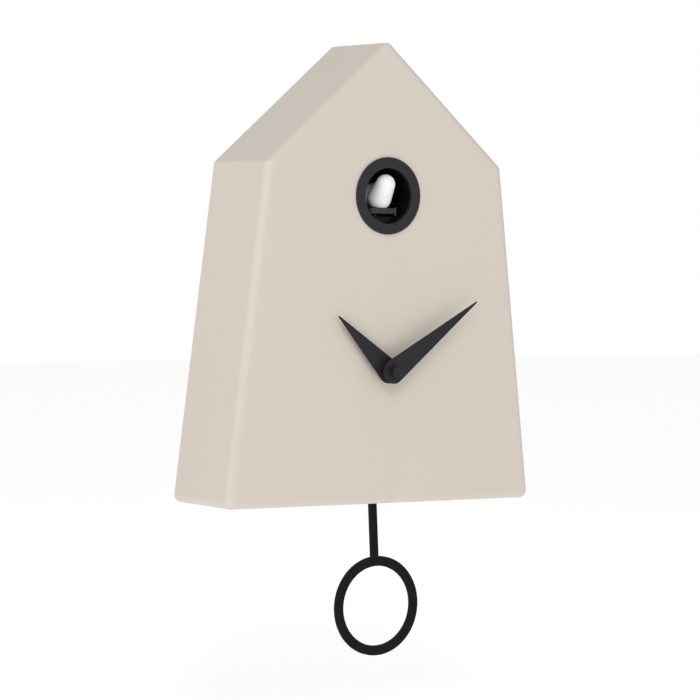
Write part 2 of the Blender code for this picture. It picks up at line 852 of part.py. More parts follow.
def contact_plate(name, side):
    """A bent spring strip at one end of the battery bay that bridges both cells."""
    inner = CELL_LENGTH / 2 + 0.6 * MM
    outer = BAY_HALF_LENGTH - GAP
    low_x, high_x = sorted((side * (outer - 0.5 * MM), side * outer))
    strip = box(
        name,
        steel,
        (low_x, -BAY_HALF_HEIGHT + 2 * MM, CELL_OUT - 5 * MM),
        (high_x, BAY_HALF_HEIGHT - 2 * MM, CELL_OUT + 5 * MM),
        location=(BOX_X, BOX_HEIGHT, 0),
    )
    dimple_low, dimple_high = sorted((side * inner, side * (outer - 0.2 * MM)))
    for number, offset in enumerate((-CELL_PITCH / 2, CELL_PITCH / 2), 1):
        join(
            strip,
            cylinder(
                f"{name}_dimple_{number}",
                None,
                2 * MM,
                dimple_low,
                dimple_high,
                12,
                "X",
                location=(BOX_X, BOX_HEIGHT + offset, CELL_OUT),
            ),
        )
    return strip


contact_plate("battery_contact_left", -1)
contact_plate("battery_contact_right", 1)

# ---------------------------------------------------------------- speaker and controls

SPEAKER_PLACE = {"location": (SPEAKER_X, SPEAKER_HEIGHT, PANEL_INNER + GAP)}
BASKET_WALL = 1 * MM
BASKET_FLANGE = 3.5 * MM
turned(
    "speaker_basket",
    steel,
    [
        (MAGNET_RADIUS + BASKET_WALL, SPEAKER_DEPTH),
        (SPEAKER_RADIUS - BASKET_FLANGE + BASKET_WALL, BASKET_WALL * 2),
        (SPEAKER_RADIUS, BASKET_WALL * 2),
        (SPEAKER_RADIUS, 0),
        (SPEAKER_RADIUS - BASKET_FLANGE, 0),
        (SPEAKER_RADIUS - BASKET_FLANGE, BASKET_WALL * 1.5),
        (MAGNET_RADIUS, SPEAKER_DEPTH - BASKET_WALL),
        (4 * MM, SPEAKER_DEPTH - BASKET_WALL),
        (4 * MM, SPEAKER_DEPTH),
    ],
    **SPEAKER_PLACE,
)
turned(
    "speaker_cone",
    cone_paper,
    [
        (0, 7 * MM),
        (4.5 * MM, 7 * MM),
        (SPEAKER_RADIUS - BASKET_FLANGE - 1.5 * MM, 1.6 * MM),
        (SPEAKER_RADIUS - BASKET_FLANGE - 0.6 * MM, 1.6 * MM),
        (SPEAKER_RADIUS - BASKET_FLANGE - 0.6 * MM, 0.8 * MM),
        (SPEAKER_RADIUS - BASKET_FLANGE - 1.8 * MM, 0.8 * MM),
        (6 * MM, 5.6 * MM),
        (0, 4.2 * MM),
    ],
    closed=False,
    **SPEAKER_PLACE,
)
cylinder(
    "speaker_magnet",
    magnet_grey,
    MAGNET_RADIUS,
    SPEAKER_DEPTH + GAP,
    SPEAKER_DEPTH + GAP + MAGNET_HEIGHT,
    28,
    **SPEAKER_PLACE,
)

BOARD_REAR = PANEL_INNER + BOARD_STANDOFF
sound_board = box(
    "sound_board",
    board_green,
    (-BOARD_WIDTH / 2, -BOARD_TALL / 2, BOARD_REAR),
    (BOARD_WIDTH / 2, BOARD_TALL / 2, BOARD_REAR + BOARD_THICKNESS),
    location=(BOARD_X, BOARD_HEIGHT, 0),
)
for name, low_x, high_x, low_y, high_y, tall in (
    ("chip", -4, 8, 0, 8, 1.6),
    ("capacitor_block", 14, 20, -10, -4, 6),
    ("socket", -22, -12, 6, 12, 4),
):
    join(
        sound_board,
        box(
            "board_" + name,
            None,
            (low_x * MM, low_y * MM, BOARD_REAR + BOARD_THICKNESS / 2),
            (high_x * MM, high_y * MM, BOARD_REAR + BOARD_THICKNESS + tall * MM),
            location=(BOARD_X, BOARD_HEIGHT, 0),
        ),
    )

CONTROL_END = PANEL_REAR - CONTROL_PROUD
RETAINER_REAR = PANEL_INNER + GAP
volume_slider = box(
    "volume_slider",
    black_plastic,
    (-1.6 * MM, -1.5 * MM, CONTROL_END),
    (1.6 * MM, 1.5 * MM, BOARD_REAR - GAP),
    location=(SLIDER_X, BOARD_HEIGHT, 0),
)
join(
    volume_slider,
    box(
        "slider_foot",
        None,
        (-4 * MM, -3 * MM, RETAINER_REAR),
        (4 * MM, 3 * MM, RETAINER_REAR + 1.2 * MM),
        location=(SLIDER_X, BOARD_HEIGHT, 0),
    ),
)
test_button = cylinder(
    "test_button",
    black_plastic,
    BUTTON_RADIUS,
    CONTROL_END,
    BOARD_REAR - BUTTON_TRAVEL - GAP,
    16,
    location=(BUTTON_X, BOARD_HEIGHT, 0),
)
join(
    test_button,
    cylinder(
        "button_foot",
        None,
        BUTTON_RADIUS + 1.2 * MM,
        RETAINER_REAR,
        RETAINER_REAR + 1.2 * MM,
        16,
        location=(BUTTON_X, BOARD_HEIGHT, 0),
    ),
)
light_sensor = cylinder(
    "light_sensor",
    clear_plastic,
    SENSOR_RADIUS,
    0.2 * MM,
    WALL + 4 * MM,
    16,
    "Y",
    location=(SENSOR_X, 0, SENSOR_OUT),
)
join(
    light_sensor,
    cylinder(
        "sensor_foot",
        None,
        SENSOR_RADIUS + 1 * MM,
        WALL + GAP,
        WALL + GAP + 1.2 * MM,
        16,
        "Y",
        location=(SENSOR_X, 0, SENSOR_OUT),
    ),
)

# ---------------------------------------------------------------- cuckoo works

RACK_PITCH_RADIUS = RACK_PINION_TEETH * RACK_MODULE / 2
DRIVE_DISTANCE = (DRIVE_GEAR_TEETH + MOTOR_PINION_TEETH) * DRIVE_MODULE / 2
CARRIAGE_REAR = PANEL_INNER + 4 * MM
PINION_OUT = CARRIAGE_REAR + BIRD_TRAVEL + RACK_SPARE
PERCH_TOP = WINDOW_HEIGHT - PERCH_DROP
PERCH_BASE = PERCH_TOP - PERCH_THICKNESS
RAIL_BASE = PERCH_TOP - RAIL_THICKNESS
RACK_LINE = PERCH_BASE - 2.7 * MM
PINION_HEIGHT = RACK_LINE - RACK_PITCH_RADIUS
MOTOR_HEIGHT = PINION_HEIGHT - DRIVE_DISTANCE
PERCH_REAR = PINION_OUT + 12 * MM
CHASSIS_FRONT = PINION_OUT + 13.5 * MM
TUBE_REAR = PINION_OUT + 16 * MM
CHEEK_INNER = RAIL_WIDTH / 2 + CHEEK_CLEARANCE
CHEEK_OUTER = CHEEK_INNER + CHEEK
CHASSIS_REAR = CARRIAGE_REAR
JOIN_OVERLAP = 0.2 * MM  # where one shape of a moulding runs into the next
FLOOR_TOP = PINION_HEIGHT - CHASSIS_FLOOR_DROP
CHASSIS_TOP = PERCH_TOP + GAP + LEDGE
FRONT_PLATE_TOP = WINDOW_HEIGHT - WINDOW_RADIUS - TUBE_WALL
CHASSIS_SCREW_X = CHASSIS_WIDTH / 2 - 5 * MM
CHASSIS_SCREW_HEIGHT = FLOOR_TOP + 4 * MM

window_bezel = turned(
    "window_bezel",
    black_plastic,
    [
        (WINDOW_RADIUS + 0.6 * MM, GAP + BEZEL_THICKNESS),
        (BEZEL_RADIUS - 0.6 * MM, GAP + BEZEL_THICKNESS),
        (BEZEL_RADIUS, GAP + BEZEL_THICKNESS - 0.6 * MM),
        (BEZEL_RADIUS, GAP),
        (TUBE_RADIUS, GAP),
        (TUBE_RADIUS, TUBE_REAR),
        (WINDOW_RADIUS, TUBE_REAR),
        (WINDOW_RADIUS, GAP + BEZEL_THICKNESS - 0.6 * MM),
    ],
    steps=48,
    location=(0, WINDOW_HEIGHT, 0),
)


def sill_outline():
    """The low part of the tube's round section, level along the top and sunk into its wall."""
    top = PERCH_BASE - SILL_CLEARANCE - WINDOW_HEIGHT
    radius = WINDOW_RADIUS + TUBE_WALL / 2
    start = math.asin(top / radius)
    points = []
    for i in range(17):
        angle = start - (math.pi + 2 * start) * i / 16
        points.append((radius * math.cos(angle), radius * math.sin(angle)))
    return points


join(
    window_bezel,
    plate(
        "window_sill",
        None,
        [sill_outline()],
        SILL_FRONT - SILL_THICKNESS,
        SILL_FRONT,
        location=(0, WINDOW_HEIGHT, 0),
    ),
)


def rack_outline():
    """Side view of the rack, x running out of the clock: straight teeth under a bar."""
    pitch = math.pi * RACK_MODULE
    low = CARRIAGE_REAR
    high = PINION_OUT + RACK_SPARE
    tip = RACK_LINE - 0.8 * RACK_MODULE
    root = RACK_LINE + 1.15 * RACK_MODULE
    points = []
    reach_back = math.floor((PINION_OUT - low) / pitch)
    reach_out = math.floor((high - PINION_OUT) / pitch)
    for i in range(-reach_back + 1, reach_out):
        middle = PINION_OUT + i * pitch
        points += [
            (middle - 0.27 * pitch, root),
            (middle - 0.11 * pitch, tip),
            (middle + 0.11 * pitch, tip),
            (middle + 0.27 * pitch, root),
        ]
    points += [(high, root), (high, RAIL_BASE + 0.5 * MM), (low, RAIL_BASE + 0.5 * MM), (low, root)]
    return points


SIDE_VIEW = (0, -math.pi / 2, 0)  # turns a plate drawn in (out, up) so that it stands along X


def side_plate(name, finish, outlines, x_low, x_high, **place):
    """A plate drawn in side view, (out, up), that runs from x_low to x_high."""
    return plate(name, finish, outlines, -x_high, -x_low, rotation=SIDE_VIEW, **place)


bird_carriage = box(
    "bird_carriage",
    black_plastic,
    (-PERCH_WIDTH / 2, PERCH_BASE, PERCH_REAR),
    (PERCH_WIDTH / 2, PERCH_TOP, -PERCH_INSET),
)
join(
    bird_carriage,
    box(
        "carriage_rail",
        None,
        (-RAIL_WIDTH / 2, RAIL_BASE, CARRIAGE_REAR),
        (RAIL_WIDTH / 2, PERCH_TOP - 0.2 * MM, PERCH_REAR + 2 * MM),
    ),
    side_plate("carriage_rack", None, [rack_outline()], -RACK_WIDTH / 2, RACK_WIDTH / 2),
    cylinder(
        "carriage_pin",
        None,
        0.9 * MM,
        PERCH_BASE - 1.6 * MM,
        PERCH_TOP + 0.6 * MM,
        12,
        "Y",
        location=(PERCH_WIDTH / 2 - 0.6 * MM, 0, -PERCH_INSET - 0.2 * MM),
    ),
    cylinder(
        "carriage_stud",
        None,
        1.3 * MM,
        -PERCH_INSET - 1 * MM,
        -PERCH_INSET + 0.9 * MM,
        12,
        location=(-PERCH_WIDTH / 2 + 1.8 * MM, (PERCH_BASE + PERCH_TOP) / 2, 0),
    ),
    solver="MANIFOLD",
)


def ball_hull(name, balls, finish):
    """One smooth body stretched over two balls, each (height, out, radius)."""

    def build(work):
        for height, out, radius in balls:
            made = bmesh.ops.create_uvsphere(work, u_segments=20, v_segments=12, radius=radius)
            bmesh.ops.translate(work, verts=made["verts"], vec=(0, height, out))
        bmesh.ops.delete(work, geom=work.edges[:], context="EDGES_FACES")
        bmesh.ops.convex_hull(work, input=work.verts)
        loose = [vert for vert in work.verts if not vert.link_faces]
        bmesh.ops.delete(work, geom=loose, context="VERTS")

    return add_object(name, mesh_from(build, name), finish)


PERCH_SEAT = PERCH_TOP + GAP
bird = ball_hull(
    "bird",
    [
        (PERCH_TOP + BIRD_HEAD_RISE, BIRD_HEAD_OUT, BIRD_HEAD_RADIUS),
        (PERCH_TOP + BIRD_CHEST_RISE, BIRD_CHEST_OUT, BIRD_CHEST_RADIUS),
    ],
    white_plastic,
)
join(
    bird,
    ball_hull(
        "bird_back",
        [
            (PERCH_TOP + BIRD_BACK_RISE, BIRD_BACK_OUT, BIRD_BACK_RADIUS),
            (PERCH_TOP + BIRD_TAIL_RISE, BIRD_TAIL_OUT, BIRD_TAIL_RADIUS),
        ],
        None,
    ),
)
cut(
    bird,
    box(
        "bird_foot_plane",
        None,
        (-20 * MM, PERCH_SEAT - 12 * MM, -45 * MM),
        (20 * MM, PERCH_SEAT, 12 * MM),
    ),
)

# Chassis: two cheeks on a floor, a front plate that screws to the shell, ledges for the rail
chassis = box(
    "cuckoo_chassis",
    black_plastic,
    (-CHEEK_OUTER, FLOOR_TOP - CHEEK, CHASSIS_REAR),
    (CHEEK_OUTER, FLOOR_TOP, CHASSIS_FRONT),
)
for side, side_name in ((-1, "left"), (1, "right")):
    cheek_low, cheek_high = sorted((side * CHEEK_INNER, side * CHEEK_OUTER))
    ledge_low, ledge_high = sorted(
        (side * (RACK_WIDTH / 2 + GAP * 1.3), side * (CHEEK_INNER + CHEEK / 2))
    )
    join(
        chassis,
        box(
            f"cheek_{side_name}",
            None,
            (cheek_low, FLOOR_TOP - CHEEK / 2, CHASSIS_REAR),
            (cheek_high, CHASSIS_TOP, CHASSIS_FRONT - CHEEK + JOIN_OVERLAP),
        ),
        box(
            f"lower_ledge_{side_name}",
            None,
            (ledge_low, RAIL_BASE - GAP - LEDGE, CHASSIS_REAR + 1 * MM),
            (ledge_high, RAIL_BASE - GAP, CHASSIS_FRONT - CHEEK * 2),
        ),
        box(
            f"upper_ledge_{side_name}",
            None,
            (ledge_low, PERCH_TOP + GAP, CHASSIS_REAR + 1 * MM),
            (ledge_high, CHASSIS_TOP + 0.2 * MM, PINION_OUT - 4 * MM),
        ),
    )
join(
    chassis,
    box(
        "chassis_front_plate",
        None,
        (-CHASSIS_WIDTH / 2, FLOOR_TOP - CHEEK - 0.2 * MM, CHASSIS_FRONT - CHEEK),
        (CHASSIS_WIDTH / 2, FRONT_PLATE_TOP, CHASSIS_FRONT + 0.1 * MM),
    ),
)
cut(
    chassis,
    cylinder(
        "pinion_opening",
        None,
        RACK_PITCH_RADIUS + RACK_MODULE + GAP,
        CHEEK_INNER - CHEEK,
        CHEEK_OUTER + CHEEK,
        24,
        "X",
        location=(0, PINION_HEIGHT, PINION_OUT),
    ),
    cylinder(
        "drive_pin_hole",
        None,
        DRIVE_PIN_RADIUS + 0.1 * MM,
        -CHEEK_OUTER - CHEEK,
        -CHEEK_INNER + CHEEK / 2,
        12,
        "X",
        location=(0, PINION_HEIGHT, PINION_OUT),
    ),
    cylinder(
        "motor_opening",
        None,
        MOTOR_RADIUS + GAP,
        -CHEEK_OUTER - CHEEK,
        -CHEEK_INNER + CHEEK / 2,
        28,
        "X",
        location=(0, MOTOR_HEIGHT, PINION_OUT),
    ),
    cylinder(
        "motor_shaft_opening",
        None,
        MOTOR_PINION_TEETH * DRIVE_MODULE / 2 + DRIVE_MODULE,
        CHEEK_INNER - CHEEK,
        CHEEK_OUTER + CHEEK,
        20,
        "X",
        location=(0, MOTOR_HEIGHT, PINION_OUT),
    ),
)
for number, side in enumerate((-1, 1), 1):
    screw_place = {"location": (side * CHASSIS_SCREW_X, CHASSIS_SCREW_HEIGHT, 0)}
    join(
        house_shell,
        cylinder(
            f"chassis_boss_{number}",
            None,
            BOSS_RADIUS * 0.8,
            CHASSIS_FRONT + 0.1 * MM + GAP,
            -WALL / 2,
            14,
            **screw_place,
        ),
    )
    cut(
        house_shell,
        cylinder(
            f"chassis_boss_hole_{number}",
            None,
            SCREW_PILOT,
            CHASSIS_FRONT - WALL,
            CHASSIS_FRONT + SCREW_LENGTH,
            10,
            **screw_place,
        ),
    )
    cut(
        chassis,
        cylinder(
            f"chassis_hole_{number}",
            None,
            SCREW_PILOT,
            CHASSIS_FRONT - CHEEK * 2,
            CHASSIS_FRONT + CHEEK,
            12,
            **screw_place,
        ),
    )
    screw_mesh(f"chassis_screw_{number}", screw_place, CHASSIS_FRONT - CHEEK - GAP)

# Compound drive gear, its pin, the motor and the motor's pinion. The gear runs outside the cheek.
GEAR_LOW = CHEEK_OUTER + 1 * MM
GEAR_HIGH = GEAR_LOW + DRIVE_GEAR_THICKNESS
BELOW = -math.pi / 2
RACK_MESH_PHASE = math.pi / 2 + math.pi / RACK_PINION_TEETH
DRIVE_PLACE = {"location": (0, PINION_HEIGHT, PINION_OUT)}
drive_bore = circle(DRIVE_PIN_RADIUS + 0.15 * MM, sides=12)
drive_gear = side_plate(
    "drive_gear",
    gear_plastic,
    [tooth_outline(DRIVE_GEAR_TEETH, DRIVE_MODULE, BELOW), drive_bore],
    GEAR_LOW,
    GEAR_HIGH,
    **DRIVE_PLACE,
)
join(
    drive_gear,
    side_plate(
        "rack_pinion",
        None,
        [tooth_outline(RACK_PINION_TEETH, RACK_MODULE, RACK_MESH_PHASE), drive_bore],
        -RACK_WIDTH / 2 - GAP,
        GEAR_LOW + DRIVE_GEAR_THICKNESS / 2,
        **DRIVE_PLACE,
    ),
)
drive_pin = cylinder(
    "drive_pin",
    steel,
    DRIVE_PIN_RADIUS,
    -CHEEK_OUTER - 0.5 * MM,
    GEAR_HIGH + 0.6 * MM,
    12,
    "X",
    **DRIVE_PLACE,
)
join(
    drive_pin,
    cylinder(
        "drive_pin_head",
        None,
        DRIVE_PIN_RADIUS * 2,
        GEAR_HIGH + GAP,
        GEAR_HIGH + GAP + 0.8 * MM,
        12,
        "X",
        **DRIVE_PLACE,
    ),
)
MOTOR_PLACE = {"location": (0, MOTOR_HEIGHT, PINION_OUT)}
MOTOR_FRONT = CHEEK_INNER - GAP
motor = cylinder(
    "cuckoo_motor",
    steel,
    MOTOR_RADIUS,
    MOTOR_FRONT - MOTOR_LENGTH,
    MOTOR_FRONT,
    28,
    "X",
    **MOTOR_PLACE,
)
join(
    motor,
    cylinder(
        "motor_rear_boss",
        None,
        MOTOR_RADIUS / 3,
        MOTOR_FRONT - MOTOR_LENGTH - 1.5 * MM,
        MOTOR_FRONT - MOTOR_LENGTH / 2,
        14,
        "X",
        **MOTOR_PLACE,
    ),
)
motor_bore = MOTOR_SHAFT_RADIUS + GAP
cut(
    motor,
    cylinder(
        "motor_bore",
        None,
        motor_bore,
        MOTOR_FRONT - 6 * MM,
        MOTOR_FRONT + 1 * MM,
        12,
        "X",
        **MOTOR_PLACE,
    ),
)
motor_pinion = side_plate(
    "motor_pinion",
    brass,
    [
        tooth_outline(
            MOTOR_PINION_TEETH,
            DRIVE_MODULE,
            mesh_phase(DRIVE_GEAR_TEETH, BELOW, MOTOR_PINION_TEETH, BELOW),
        )
    ],
    GEAR_LOW,
    GEAR_HIGH,
    **MOTOR_PLACE,
)
join(
    motor_pinion,
    cylinder(
        "motor_shaft",
        None,
        MOTOR_SHAFT_RADIUS,
        MOTOR_FRONT - 5 * MM,
        GEAR_LOW + DRIVE_GEAR_THICKNESS / 2,
        10,
        "X",
        **MOTOR_PLACE,
    ),
)

# ---------------------------------------------------------------- movement case


def case_half(name, finish, low, high, open_side):
    """One half of the movement's case: a tray with round corners, hollow towards the seam."""
    across = CASE_WIDTH / 2
    base = -CASE_BELOW
    top = CASE_ABOVE
    half = plate(
        name,
        finish,
        [rectangle(-across, across, base, top, CASE_CORNER_RADIUS)],
        low,
        high,
        location=(0, HAND_HEIGHT, 0),
    )
    hollow_low, hollow_high = (low + CASE_WALL, high + CASE_WALL)
    if open_side < 0:
        hollow_low, hollow_high = (low - CASE_WALL, high - CASE_WALL)
    cut(
        half,
        plate(
            name + "_hollow",
            None,
            [
                rectangle(
                    -across + CASE_WALL,
                    across - CASE_WALL,
                    base + CASE_WALL,
                    top - CASE_WALL,
                    CASE_CORNER_RADIUS - CASE_WALL,
                )
            ],
            hollow_low,
            hollow_high,
            location=(0, HAND_HEIGHT, 0),
        ),
    )
    return half


case_front = case_half("movement_front_case", black_plastic, CASE_SEAM + GAP, CASE_FRONT, -1)
case_back = case_half("movement_back_case", black_plastic, CASE_REAR, CASE_SEAM, 1)
cut(
    case_front,
    cylinder(
        "bush_opening",
        None,
        BUSH_RADIUS + GAP,
        CASE_FRONT - 2 * CASE_WALL,
        CASE_FRONT + CASE_WALL,
        24,
        location=(0, HAND_HEIGHT, 0),
    ),
)
CELL_HEIGHT = HAND_HEIGHT - CASE_BELOW + CASE_WALL + GAP + CELL_RADIUS
CELL_MIDDLE_OUT = CASE_FRONT - CASE_WALL - GAP - CELL_RADIUS
cut(
    case_back,
    box(
        "cell_opening",
        None,
        (
            -CELL_LENGTH / 2 - GAP,
            CELL_HEIGHT - CELL_RADIUS - GAP,
            CASE_REAR - CASE_WALL,
        ),
        (
            CELL_LENGTH / 2 + GAP,
            CELL_HEIGHT + CELL_RADIUS + GAP,
            CASE_REAR + CASE_WALL * 2,
        ),
    ),
)
battery("movement_cell", (0, CELL_HEIGHT, CELL_MIDDLE_OUT))

turned(
    "shaft_bush",
    brass,
    [
        (BUSH_BORE_RADIUS, BUSH_PROUD),
        (BUSH_RADIUS - 0.3 * MM, BUSH_PROUD),
        (BUSH_RADIUS, BUSH_PROUD - 0.3 * MM),
        (BUSH_RADIUS, CASE_FRONT - CASE_WALL - GAP),
        (BUSH_RADIUS + 2.5 * MM, CASE_FRONT - CASE_WALL - GAP),
        (BUSH_RADIUS + 2.5 * MM, CASE_FRONT - CASE_WALL - GAP - 1 * MM),
        (BUSH_BORE_RADIUS, CASE_FRONT - CASE_WALL - GAP - 1 * MM),
    ],
    steps=24,
    location=(0, HAND_HEIGHT, 0),
)
turned(
    "rubber_washer",
    rubber,
    [
        (BUSH_RADIUS + GAP, -WALL - GAP),
        (WASHER_RADIUS, -WALL - GAP),
        (WASHER_RADIUS, -WALL - GAP - WASHER_THICKNESS),
        (BUSH_RADIUS + GAP, -WALL - GAP - WASHER_THICKNESS),
    ],
    steps=24,
    location=(0, HAND_HEIGHT, 0),
)
NUT_CORNER_RADIUS = NUT_ACROSS_FLATS / math.sqrt(3)
plate(
    "shaft_nut",
    brass,
    [circle(NUT_CORNER_RADIUS, sides=6, start=NUT_TURN), circle(BUSH_RADIUS + GAP, sides=24)],
    GAP,
    GAP + NUT_HEIGHT,
    location=(0, HAND_HEIGHT, 0),
)

# ---------------------------------------------------------------- wheels

FLANGE_REAR = CASE_FRONT - CASE_WALL - GAP - 1 * MM
HOUR_WHEEL_HIGH = FLANGE_REAR - GAP
HOUR_WHEEL_LOW = HOUR_WHEEL_HIGH - WHEEL_THICKNESS
MOTION_WHEEL_HIGH = HOUR_WHEEL_LOW - 0.6 * MM
MOTION_WHEEL_LOW = MOTION_WHEEL_HIGH - WHEEL_THICKNESS
CENTRE_WHEEL_HIGH = MOTION_WHEEL_LOW - 0.8 * MM
CENTRE_WHEEL_LOW = CENTRE_WHEEL_HIGH - WHEEL_THICKNESS
THIRD_WHEEL_HIGH = CENTRE_WHEEL_LOW - 0.6 * MM
THIRD_WHEEL_LOW = THIRD_WHEEL_HIGH - WHEEL_THICKNESS
SECOND_WHEEL_HIGH = THIRD_WHEEL_LOW - 0.6 * MM
SECOND_WHEEL_LOW = SECOND_WHEEL_HIGH - WHEEL_THICKNESS
CASE_REAR_INNER = CASE_REAR + CASE_WALL
MINUTE_TIP = MINUTE_HAND_OUT + HAND_THICKNESS + CAP_HEIGHT / 2
HOUR_TIP = HOUR_HAND_OUT + HAND_THICKNESS + 0.5 * MM
PIVOT_RADIUS = 0.8 * MM

MOTION_DISTANCE = (CENTRE_PINION_TEETH + MOTION_WHEEL_TEETH) * MOTION_MODULE / 2
SETTING_DISTANCE = (MOTION_WHEEL_TEETH + SETTING_PINION_TEETH) * MOTION_MODULE / 2
THIRD_DISTANCE = (CENTRE_WHEEL_TEETH + TRAIN_PINION_TEETH) * TRAIN_MODULE / 2
SECOND_DISTANCE = (THIRD_WHEEL_TEETH + TRAIN_PINION_TEETH) * TRAIN_MODULE / 2


def away(start, distance, bearing):
    """A place at a distance and bearing from another."""
    return (start[0] + distance * math.cos(bearing), start[1] + distance * math.sin(bearing))


CENTRE = (0, HAND_HEIGHT)
MOTION = away(CENTRE, MOTION_DISTANCE, MOTION_BEARING)
SETTING = away(MOTION, SETTING_DISTANCE, SETTING_BEARING)
THIRD = away(CENTRE, THIRD_DISTANCE, math.pi / 2)
SECOND = away(THIRD, SECOND_DISTANCE, math.pi)

MOTION_PHASE = mesh_phase(CENTRE_PINION_TEETH, 0, MOTION_WHEEL_TEETH, MOTION_BEARING)
MOTION_PINION_PHASE = math.pi + MOTION_BEARING
HOUR_PHASE = mesh_phase(
    MOTION_PINION_TEETH, MOTION_PINION_PHASE, HOUR_WHEEL_TEETH, math.pi + MOTION_BEARING
)
SETTING_PHASE = mesh_phase(
    MOTION_WHEEL_TEETH, MOTION_PHASE, SETTING_PINION_TEETH, SETTING_BEARING
)
THIRD_PINION_PHASE = mesh_phase(CENTRE_WHEEL_TEETH, 0, TRAIN_PINION_TEETH, math.pi / 2)
SECOND_PINION_PHASE = mesh_phase(THIRD_WHEEL_TEETH, 0, TRAIN_PINION_TEETH, math.pi)


def wheel(name, finish, teeth, module, phase, low, high, place, bore=None):
    """A toothed wheel about a place in the front view."""
    outlines = [tooth_outline(teeth, module, phase)]
    if bore:
        outlines.append(circle(bore, sides=16))
    return plate(name, finish, outlines, low, high, location=(*place, 0))


def arbor(name, finish, radius, low, high, place, sides=12):
    """A plain shaft about a place in the front view."""
    return cylinder(name, finish, radius, low, high, sides, location=(*place, 0))


centre_arbor = arbor("minute_arbor", steel, ARBOR_RADIUS, CENTRE_WHEEL_LOW, MINUTE_TIP, CENTRE, 16)
join(
    centre_arbor,
    arbor(
        "minute_arbor_pivot",
        None,
        PIVOT_RADIUS,
        CASE_REAR_INNER + GAP,
        CENTRE_WHEEL_LOW + 1 * MM,
        CENTRE,
    ),
    wheel(
        "centre_pinion",
        None,
        CENTRE_PINION_TEETH,
        MOTION_MODULE,
        0,
        MOTION_WHEEL_LOW - 0.2 * MM,
        MOTION_WHEEL_HIGH + 0.2 * MM,
        CENTRE,
    ),
)
wheel(
    "centre_wheel",
    gear_plastic,
    CENTRE_WHEEL_TEETH,
    TRAIN_MODULE,
    0,
    CENTRE_WHEEL_LOW,
    CENTRE_WHEEL_HIGH,
    CENTRE,
    ARBOR_RADIUS + 0.1 * MM,
)
motion_wheel = wheel(
    "motion_wheel",
    gear_plastic,
    MOTION_WHEEL_TEETH,
    MOTION_MODULE,
    MOTION_PHASE,
    MOTION_WHEEL_LOW,
    MOTION_WHEEL_HIGH,
    MOTION,
)
join(
    motion_wheel,
    wheel(
        "motion_pinion",
        None,
        MOTION_PINION_TEETH,
        MOTION_MODULE,
        MOTION_PINION_PHASE,
        MOTION_WHEEL_LOW + 0.4 * MM,
        HOUR_WHEEL_HIGH,
        MOTION,
    ),
    arbor(
        "motion_pivots",
        None,
        PIVOT_RADIUS,
        MOTION_WHEEL_LOW - 0.5 * MM,
        CASE_FRONT - CASE_WALL - GAP,
        MOTION,
    ),
)
hour_wheel = wheel(
    "hour_wheel",
    gear_plastic,
    HOUR_WHEEL_TEETH,
    MOTION_MODULE,
    HOUR_PHASE,
    HOUR_WHEEL_LOW,
    HOUR_WHEEL_HIGH,
    CENTRE,
    ARBOR_RADIUS + 0.4 * MM,
)
join(
    hour_wheel,
    plate(
        "hour_tube",
        None,
        [circle(HOUR_TUBE_RADIUS, sides=16), circle(ARBOR_RADIUS + 0.4 * MM, sides=16)],
        HOUR_WHEEL_LOW,
        HOUR_TIP,
        location=(*CENTRE, 0),
    ),
)
third_wheel = wheel(
    "third_wheel",
    gear_plastic,
    THIRD_WHEEL_TEETH,
    TRAIN_MODULE,
    0,
    THIRD_WHEEL_LOW,
    THIRD_WHEEL_HIGH,
    THIRD,
)
join(
    third_wheel,
    wheel(
        "third_pinion",
        None,
        TRAIN_PINION_TEETH,
        TRAIN_MODULE,
        THIRD_PINION_PHASE,
        THIRD_WHEEL_LOW + 0.4 * MM,
        CENTRE_WHEEL_HIGH + 0.2 * MM,
        THIRD,
    ),
    arbor(
        "third_pivots",
        None,
        PIVOT_RADIUS / 2,
        CASE_REAR_INNER + GAP,
        CENTRE_WHEEL_HIGH + 2 * MM,
        THIRD,
    ),
)
second_wheel = wheel(
    "second_wheel",
    gear_plastic,
    SECOND_WHEEL_TEETH,
    TRAIN_MODULE,
    0,
    SECOND_WHEEL_LOW,
    SECOND_WHEEL_HIGH,
    SECOND,
)
join(
    second_wheel,
    wheel(
        "second_pinion",
        None,
        TRAIN_PINION_TEETH,
        TRAIN_MODULE,
        SECOND_PINION_PHASE,
        SECOND_WHEEL_LOW + 0.4 * MM,
        THIRD_WHEEL_HIGH + 0.2 * MM,
        SECOND,
    ),
    arbor(
        "second_pivots",
        None,
        PIVOT_RADIUS / 2,
        CASE_REAR_INNER + GAP,
        THIRD_WHEEL_HIGH + 2 * MM,
        SECOND,
    ),
)

# Setting knob: a ribbed grip behind the case, its shaft and its pinion
cut(
    case_back,
    arbor(
        "knob_opening",
        None,
        PIVOT_RADIUS * 1.5 + GAP,
        CASE_REAR - CASE_WALL,
        CASE_REAR + CASE_WALL * 2,
        SETTING,
    ),
    arbor(
        "pivot_pin_opening",
        None,
        PIVOT_PIN_RADIUS + 0.1 * MM,
        CASE_REAR - CASE_WALL,
        CASE_REAR + CASE_WALL * 2,
        (0, PIVOT_HEIGHT),
    ),
)
KNOB_RIBS = 20
KNOB_REAR = CASE_REAR - 1 * MM - KNOB_LENGTH
knob_outline = [
    (
        (KNOB_RADIUS - (0.5 * MM if i % 2 else 0)) * math.cos(math.pi * i / KNOB_RIBS),
        (KNOB_RADIUS - (0.5 * MM if i % 2 else 0)) * math.sin(math.pi * i / KNOB_RIBS),
    )
    for i in range(2 * KNOB_RIBS)
]
setting_knob = plate(
    "setting_knob",
    black_plastic,
    [knob_outline],
    KNOB_REAR,
    KNOB_REAR + KNOB_LENGTH,
    location=(*SETTING, 0),
)
